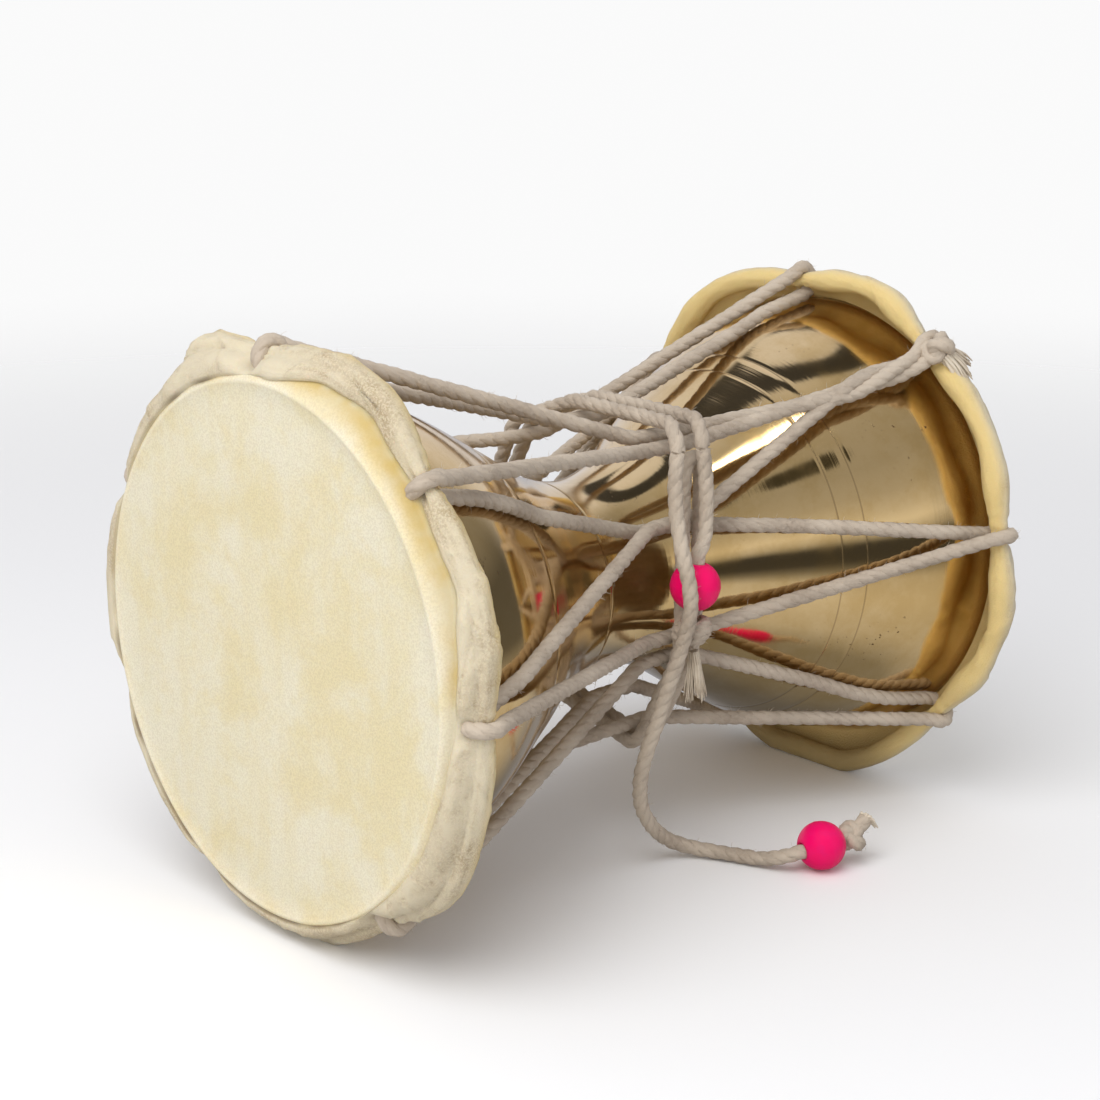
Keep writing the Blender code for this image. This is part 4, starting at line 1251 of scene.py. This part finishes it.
@dataclass(frozen=True)
class StopperKnot:
    """A knot and the frayed tail beyond it.

    The knot's strand is thinner than the free cord, because the pull has drawn it tight.
    """

    name: str
    form: KnotForm
    centre: Vector
    direction: Vector
    tail: Vector
    size: float
    strand: float
    tail_length: float
    stub: float
    yarns: int
    spread: float
    seed: int

    def coil(self) -> Route:
        """The strand inside the knot."""
        first, second = square_to(self.direction)
        points = []
        if self.form is KnotForm.OVERHAND:
            for k in range(49):
                t = math.tau * k / 48
                x, y, z = math.sin(t) + 2 * math.sin(2 * t), math.cos(t) - 2 * math.cos(2 * t), -math.sin(3 * t)
                points.append(self.centre + self.size * (x * first + y * self.direction + 1.35 * z * second) / 3)
            return points
        turns = 4
        for k in range(turns * 16 + 1):
            t = math.tau * k / 16
            share = k / (turns * 16)
            wide = self.size * (0.44 + 0.24 * math.sin(math.pi * share))
            lean = 0.16 * math.sin(t) * self.size
            points.append(self.centre + wide * (math.cos(t) * first + 0.9 * math.sin(t) * second)
                          + self.direction * ((share - 0.5) * 0.80 * self.size + lean))
        return points

    def fray(self, start: Vector, towards: Vector, length: float, seed: int) -> list[Route]:
        """Loose yarns of the three plies that open out from one spot.

        Args:
            start: Where the cord comes apart.
            towards: The way that it points.
            length: How long the yarns are.
            seed: What makes them differ from those of other ends.

        Returns:
            The yarns' middle lines.
        """
        first, second = square_to(towards)
        found = []
        for k in range(self.yarns):
            ply = math.tau * (k % 3) / 3 + seed
            apart = (math.cos(ply) * first + math.sin(ply) * second) * self.strand
            angle, radius = k * GOLDEN_ANGLE, math.sqrt((k + 0.5) / self.yarns)
            out = math.cos(angle) * first + math.sin(angle) * second
            wave = Vector((k * 1.7, seed * 3.1, 0.5))
            reach = length * (0.88 + 0.3 * noise.noise(wave) + 0.12 * math.sin(seed + k % 3))
            bend = (first * noise.noise(wave + Vector((5.0, 0.0, 0.0)))
                    + second * noise.noise(wave + Vector((0.0, 7.0, 0.0))))
            line = []
            for i in range(7):
                t = i / 6
                wide = self.strand * 0.48 * radius * (1 + 0.5 * t)
                droop = Vector((0.0, 0.0, -0.0016 * t * t))
                line.append(start + towards * reach * t + out * wide + apart * (0.45 + self.spread * t) + droop
                            + bend * 0.0009 * t * t + out * 0.00012 * math.sin(9 * t + k))
            found.append(line)
        return found

    def build(self, make: CordMake, finishes: Finishes, nodes: Sequence[str],
              tails: Sequence[tuple[Vector, float]] = ()) -> bpy.types.Object:
        """The knot and its tail as one piece.

        Args:
            make: How the cord is laid up.
            finishes: The finishes.
            nodes: The solids that it stands for.
            tails: Further frayed ends, as direction and length.

        Returns:
            The piece.
        """
        strands, yarns = [self.coil()], []
        for i, (towards, length) in enumerate([(self.tail, self.tail_length), *tails]):
            way = towards.normalized()
            root = self.centre + way * self.size * 0.3
            end = root + way * (self.size * 0.5 + self.stub)
            if self.stub:
                strands.append(even_route([root, end], 0.0006))
            yarns += self.fray(end, way, length, self.seed + i)
        knot = make.mesh([in_place(route) for route in strands], finishes.cord, self.seed, self.strand / make.radius)
        loose = Trees.run("loose_yarns", [in_place(route) for route in yarns],
                          {"Yarn Radius": 0.19 * self.strand, "Finish": finishes.yarn})
        knot.materials.append(finishes.yarn)
        loose.polygons.foreach_set("material_index", [1] * len(loose.polygons))
        both = bmesh.new()
        both.from_mesh(knot)
        both.from_mesh(loose)
        both.to_mesh(knot)
        both.free()
        return show(self.name, knot, finishes.cord, nodes)


@dataclass(frozen=True)
class Bead:
    """A moulded bead with a bore and a faint seam round its middle."""

    name: str
    centre: Vector
    thread: Vector
    radius: float = 0.00612
    bore: float = 0.00215
    rings: int = 40
    sides: int = 72
    seam: float = 0.00006

    def build(self, finishes: Finishes, node: str) -> bpy.types.Object:
        """The bead."""
        axis = self.thread.normalized()
        first, second = square_to(axis)
        edge = math.asin(self.bore / self.radius)
        line = []
        for k in range(self.rings + 1):
            angle = edge + (math.pi - 2 * edge) * k / self.rings
            lip = min(1.0, min(k, self.rings - k) / 2.0)
            seam = self.seam * math.exp(-((k - self.rings / 2) / 0.8) ** 2)
            line.append((-(self.radius - 0.0002 * (1 - lip)) * math.cos(angle), (self.radius + seam) * math.sin(angle)))
        rings = []
        for distance, radius in line:
            ring = []
            for k in range(self.sides):
                angle = math.tau * k / self.sides
                swell = 1.0 + 0.010 * noise.noise(Vector((math.cos(angle), math.sin(angle), distance * 300.0)))
                out = first * math.cos(angle) + second * math.sin(angle)
                ring.append(self.centre + axis * distance + radius * swell * out)
            rings.append(in_place(ring))
        mesh = grid_mesh(self.name, rings, {}, True)
        return show(self.name, mesh, finishes.bead, [node])


SHORT_CORD = ((0.0062, 0.0372, 0.0376), (0.0068, 0.0374, 0.0330), (0.0071, 0.0377, 0.0280), (0.0066, 0.0384, 0.0215),
              (0.0052, 0.0393, 0.0160), (0.0016, 0.0401, 0.0050))
SHORT_THREAD = (-0.10, 0.02, -1.0)
LONG_CORD = ((-0.0019, 0.0366, 0.0373), (-0.0026, 0.0370, 0.0340), (-0.0034, 0.0376, 0.0300), (-0.0046, 0.0396, 0.0220),
             (-0.0052, 0.0424, 0.0140), (-0.0054, 0.0450, 0.0070), (-0.0056, 0.0456, 0.0010), (-0.0058, 0.0442, -0.0050),
             (-0.0060, 0.0420, -0.0120), (-0.0062, 0.0394, -0.0190), (-0.0070, 0.0370, -0.0275), (-0.0082, 0.0350, -0.0350),
             (-0.0088, 0.0332, -0.0430), (-0.0066, 0.0312, -0.0510), (-0.0018, 0.0300, -0.0582), (0.0046, 0.0302, -0.0640),
             (0.0108, 0.0338, -0.0668), (0.0154, 0.0412, -0.0673), (0.0184, 0.0490, -0.0670), (0.0204, 0.0542, -0.0655),
             (0.0288, 0.0596, -0.0631))
LONG_THREAD = (0.94, 0.31, 0.12)


@dataclass(frozen=True)
class Striker:
    """A free cord with the bead that it swings and the knot that holds the bead."""

    name: str
    chosen: tuple
    thread: tuple
    make: CordMake
    form: KnotForm
    knot_size: float
    strand: float
    tail_length: float
    stub: float
    yarns: int
    spread: float
    bead_radius: float = 0.00615
    gap: float = 0.0006

    def route(self) -> Route:
        """The middle line of the free cord, from where it leaves the winding through its bead."""
        points = [at(*spot) for spot in self.chosen]
        middle = points.pop()
        direction = at(*self.thread).normalized()
        through = self.bead_radius + self.gap
        points += [middle + direction * through * share for share in (-1.0, -0.5, 0.0, 0.5, 1.0)]
        return smooth_route(points, 0.0030)

    def build(self, finishes: Finishes, tail: Vector, seed: int) -> None:
        """The cord, its bead and its knot."""
        middle, direction = at(*self.chosen[-1]), at(*self.thread).normalized()
        route = self.route()
        path = in_place(route)
        bead = Bead(f"bead_{self.name}", middle, direction).build(finishes, f"striker_bead_{self.name}")
        knot = StopperKnot(
            f"knot_{self.name}", self.form, middle + direction * (self.bead_radius + self.knot_size * 0.80),
            direction, tail, self.knot_size, self.strand, self.tail_length, self.stub, self.yarns, self.spread, seed,
        ).build(self.make, finishes, [f"striker_knot_{self.name}"])
        cord = show(f"free_cord_{self.name}", self.make.mesh([path], finishes.cord, seed), finishes.cord,
                    [f"striker_cord_{self.name}"])


@dataclass(frozen=True)
class Studio:
    """The pale floor, the soft light and the camera.

    A wall is a row of elevations in degrees, each with its brightness. A spot has its direction, the
    cosines at its edge and inside, and its colour. A lamp has its direction, distance, size and power.
    """

    floor_size: float = 4.0
    page: tuple = (0.96, 0.96, 0.96, 1.0)
    bounce: tuple = (0.66, 0.65, 0.64, 1.0)
    floor_seen: tuple = (0.97, 0.97, 0.97, 1.0)
    even_light: tuple = (0.58, 0.58, 0.60, 1.0)
    warm: tuple = (1.0, 0.97, 0.88)
    cool: tuple = (0.95, 0.97, 1.06)
    front_wall: tuple = ((-90, 0.20), (-62, 0.26), (-48, 0.55), (-30, 0.68), (-19, 0.60), (-13, 0.20), (-9, 0.06),
                         (0, 0.05), (4, 0.55), (9, 0.80), (15, 0.62), (24, 0.46), (38, 0.38), (55, 0.40), (72, 0.44),
                         (90, 0.56))
    back_wall: tuple = ((-90, 0.18), (-62, 0.13), (-42, 0.14), (-25, 0.30), (-8, 0.55), (4, 0.80), (35, 0.82),
                        (60, 0.80), (90, 0.66))
    side_wall: tuple = ((-90, 0.20), (-62, 0.26), (-45, 0.50), (-20, 0.60), (-8, 0.12), (10, 0.10), (22, 0.24),
                        (45, 0.34), (70, 0.42), (90, 0.56))
    gap_centre: tuple = (0.34, 0.38, 0.0)
    gap_spans: tuple = ((0.225, 0.425), (-0.20, 0.60), (0.3, 2.0))
    gap_edge: float = 0.015
    gap_colour: tuple = (0.02, 0.02, 0.02, 1.0)
    spots: tuple = (((-0.190, -0.660, 0.727), 0.9955, 0.9985, (0.05, 0.045, 0.03, 1.0)),
                    ((-0.175, -0.300, 0.938), 0.9920, 0.9962, (9.0, 8.7, 8.0, 1.0)))
    lamps: tuple = (("key_lamp", (-0.60, -0.25, 0.85), 0.9, 0.85, 5.2),
                    ("low_fill", (-0.95, -0.45, 0.10), 1.1, 0.30, 1.7))
    lens: float = 76.25
    eye: tuple = (-0.38885, 0.40905, 0.15855)
    look: tuple = (0.6572, 0.7071, -0.2609)
    right: tuple = (0.7337, -0.6795, 0.0066)

    def floor(self) -> None:
        """A pale floor that fades into the page, and doesn't show in the brass."""
        half = self.floor_size / 2
        mesh = bpy.data.meshes.new("floor")
        mesh.from_pydata([(-half, -half, 0), (half, -half, 0), (half, half, 0), (-half, half, 0)], [], [(0, 1, 2, 3)])
        floor = linked("floor", mesh)
        made = bpy.data.materials.new("pale_floor")
        made.use_nodes = True
        wire = Wiring(made.node_tree)
        shader = made.node_tree.nodes["Principled BSDF"]
        seen = wire.node("ShaderNodeLightPath").outputs["Is Camera Ray"]
        wire.feed(shader, {"Base Color": wire.mixed(seen, self.bounce, self.floor_seen), "Roughness": 0.9,
                           "Specular IOR Level": 0.1})
        place = wire.node("ShaderNodeTexCoord").outputs["Object"]
        away = wire.vector("LENGTH", {0: place}).outputs["Value"]
        fade = wire.mapped(away, 0.22, 0.95)
        clear = wire.node("ShaderNodeBsdfTransparent")
        blend = wire.node("ShaderNodeMixShader", {0: fade, 1: shader.outputs[0], 2: clear.outputs[0]})
        wire.feed(made.node_tree.nodes["Material Output"], {"Surface": blend.outputs[0]})
        mesh.materials.append(made)
        floor.visible_glossy = False

    def surroundings(self) -> None:
        """A light tent: white walls, a dark gap at the front edge of the table, a dark flag and one lamp."""
        world = bpy.data.worlds.new("light_tent")
        world.use_nodes = True
        bpy.context.scene.world = world
        wire = Wiring(world.node_tree)
        sky = world.node_tree.nodes["Background"]
        direction = wire.node("ShaderNodeTexCoord").outputs["Generated"]
        split = wire.node("ShaderNodeSeparateXYZ", {0: direction})
        east, north, up = split.outputs
        level = wire.plus(wire.math("DIVIDE", wire.math("ARCSINE", up), math.pi), 0.5)
        front, back, side = (self.ramp(wire, level, wall, tint) for wall, tint in (
            (self.front_wall, self.warm), (self.back_wall, self.cool), (self.side_wall, self.warm)))
        towards_back = wire.mapped(north, -0.15, 0.35)
        towards_side = wire.mapped(wire.math("ABSOLUTE", east), 0.35, 0.75)
        tent = wire.mixed(towards_side, front, side)
        tent = wire.mixed(towards_back, tent, back)
        over = wire.vector("MULTIPLY", {0: direction, 1: (1.0, 1.0, 0.0)}).outputs[0]
        ring = wire.vector("DISTANCE", {0: over, 1: self.gap_centre}).outputs["Value"]
        frame_gap = self.window(wire, zip((ring, north, up), self.gap_spans), self.gap_edge)
        tent = wire.mixed(wire.times(frame_gap, 0.95), tent, self.gap_colour)
        for way, low, high, light in self.spots:
            facing = wire.vector("DOT_PRODUCT", {0: direction, 1: way}).outputs["Value"]
            tent = wire.mixed(wire.mapped(facing, low, high), tent, light)
        path = wire.node("ShaderNodeLightPath").outputs
        soft = wire.mixed(path["Is Glossy Ray"], self.even_light, tent)
        wire.feed(sky, {"Color": wire.mixed(path["Is Camera Ray"], soft, self.page)})

    def ramp(self, wire: Wiring, level: bpy.types.NodeSocket, stops: Sequence[tuple[float, float]],
             tint: tuple[float, float, float]) -> bpy.types.NodeSocket:
        """How bright the tent is at each elevation, from pairs of degrees and brightness."""
        made = wire.node("ShaderNodeValToRGB", {0: level})
        elements = made.color_ramp.elements
        elements[0].position, elements[1].position = 0.0, 1.0
        for k, (degrees, light) in enumerate(stops):
            spot = (degrees + 90.0) / 180.0
            if k in (0, len(stops) - 1):
                element = elements[0] if k == 0 else elements[-1]
            else:
                element = elements.new(spot)
            element.color = (light * tint[0], light * tint[1], light * tint[2], 1.0)
        return made.outputs[0]

    def window(self, wire: Wiring, spans: Iterable[tuple[bpy.types.NodeSocket, tuple]],
               edge: float) -> bpy.types.NodeSocket:
        """A soft-edged window in direction, from values and their spans."""
        mask: object = 1.0
        for value, (low, high) in spans:
            opens = wire.mapped(value, low - edge, low + edge)
            closes = wire.mapped(value, high - edge, high + edge, 1.0, 0.0)
            mask = wire.times(mask, wire.times(opens, closes))
        return mask

    def lamp(self, name: str, towards: tuple, distance: float, size: float, power: float) -> None:
        """A large soft lamp that looks at the drum."""
        data = bpy.data.lights.new(name, "AREA")
        data.shape, data.size, data.energy = "DISK", size, power
        made = linked(name, data)
        way = Vector(towards).normalized()
        made.location = AXIS_MIDDLE + way * distance
        made.rotation_mode = "QUATERNION"
        made.rotation_quaternion = way.to_track_quat("Z", "Y")
        made.visible_glossy = False

    def camera(self) -> None:
        """The camera at the photograph's place."""
        data = bpy.data.cameras.new("camera")
        data.lens, data.sensor_width = self.lens, 36.0
        data.clip_start, data.clip_end = 0.01, 30.0
        made = linked("camera", data)
        ahead = Vector(self.look).normalized()
        right = Vector(self.right).normalized()
        above = right.cross(ahead)
        turned = Matrix((right, above, -ahead)).transposed()
        made.matrix_world = Matrix.Translation(in_place([at(*self.eye)])[0]) @ turned.to_4x4()
        bpy.context.scene.camera = made

    def build(self) -> None:
        """The whole set."""
        self.floor()
        self.surroundings()
        for lamp in self.lamps:
            self.lamp(*lamp)
        self.camera()
        bpy.context.scene.view_settings.view_transform = "Standard"


def main() -> None:
    """Build every piece in order."""
    logging.basicConfig(level=logging.INFO, format="%(name)s %(message)s")
    studio, make, waist, shell = Studio(), CordMake(), Waist(), BrassShell()
    studio.build()
    finishes = Finishes()
    short = Striker("short", SHORT_CORD, SHORT_THREAD, make, KnotForm.WOUND, knot_size=0.0062, strand=0.0014,
                    tail_length=0.0105, stub=0.0, yarns=90, spread=0.9)
    short.build(finishes, at(0.10, 0.06, -1.0), 31)
    long = Striker("long", LONG_CORD, LONG_THREAD, make, KnotForm.OVERHAND, knot_size=0.0027, strand=0.0020,
                   tail_length=0.0014, stub=0.0042, yarns=54, spread=0.3)
    long.build(finishes, at(0.75, 0.15, 0.60), 37)
    shell.build(finishes)
    Drumhead("near_skin", NEAR_HOOP, 1.0, NEAR_LEDGES, NEAR_PLEATS, NEAR_LUMPS).build(finishes)
    # The far skin gets more painted brass glow and painted shade under its roll.
    Drumhead("far_skin", FAR_HOOP, 0.75, FAR_LEDGES, FAR_PLEATS, FAR_LUMPS, warmth=1.0, painted_underside_shade=0.55).build(finishes)
    lacing = Lacing(make, waist, shell)
    lacing.build(finishes)
    Winding(make, waist, lacing, SHORT_CORD, LONG_CORD).build(finishes)
    start = lacing.route()[0]
    knot = StopperKnot("lacing_knot", KnotForm.OVERHAND, start, at(0.6, 0.5, 0.6).normalized(), at(1.0, 0.25, -0.55),
                       size=0.0033, strand=0.0020, tail_length=0.0088, stub=0.0, yarns=80, spread=0.45, seed=41)
    knot.build(make, finishes, ["lacing_cord"], [(at(0.60, 0.7, -0.9), 0.0088)])


if __name__ == "__main__":
    main()
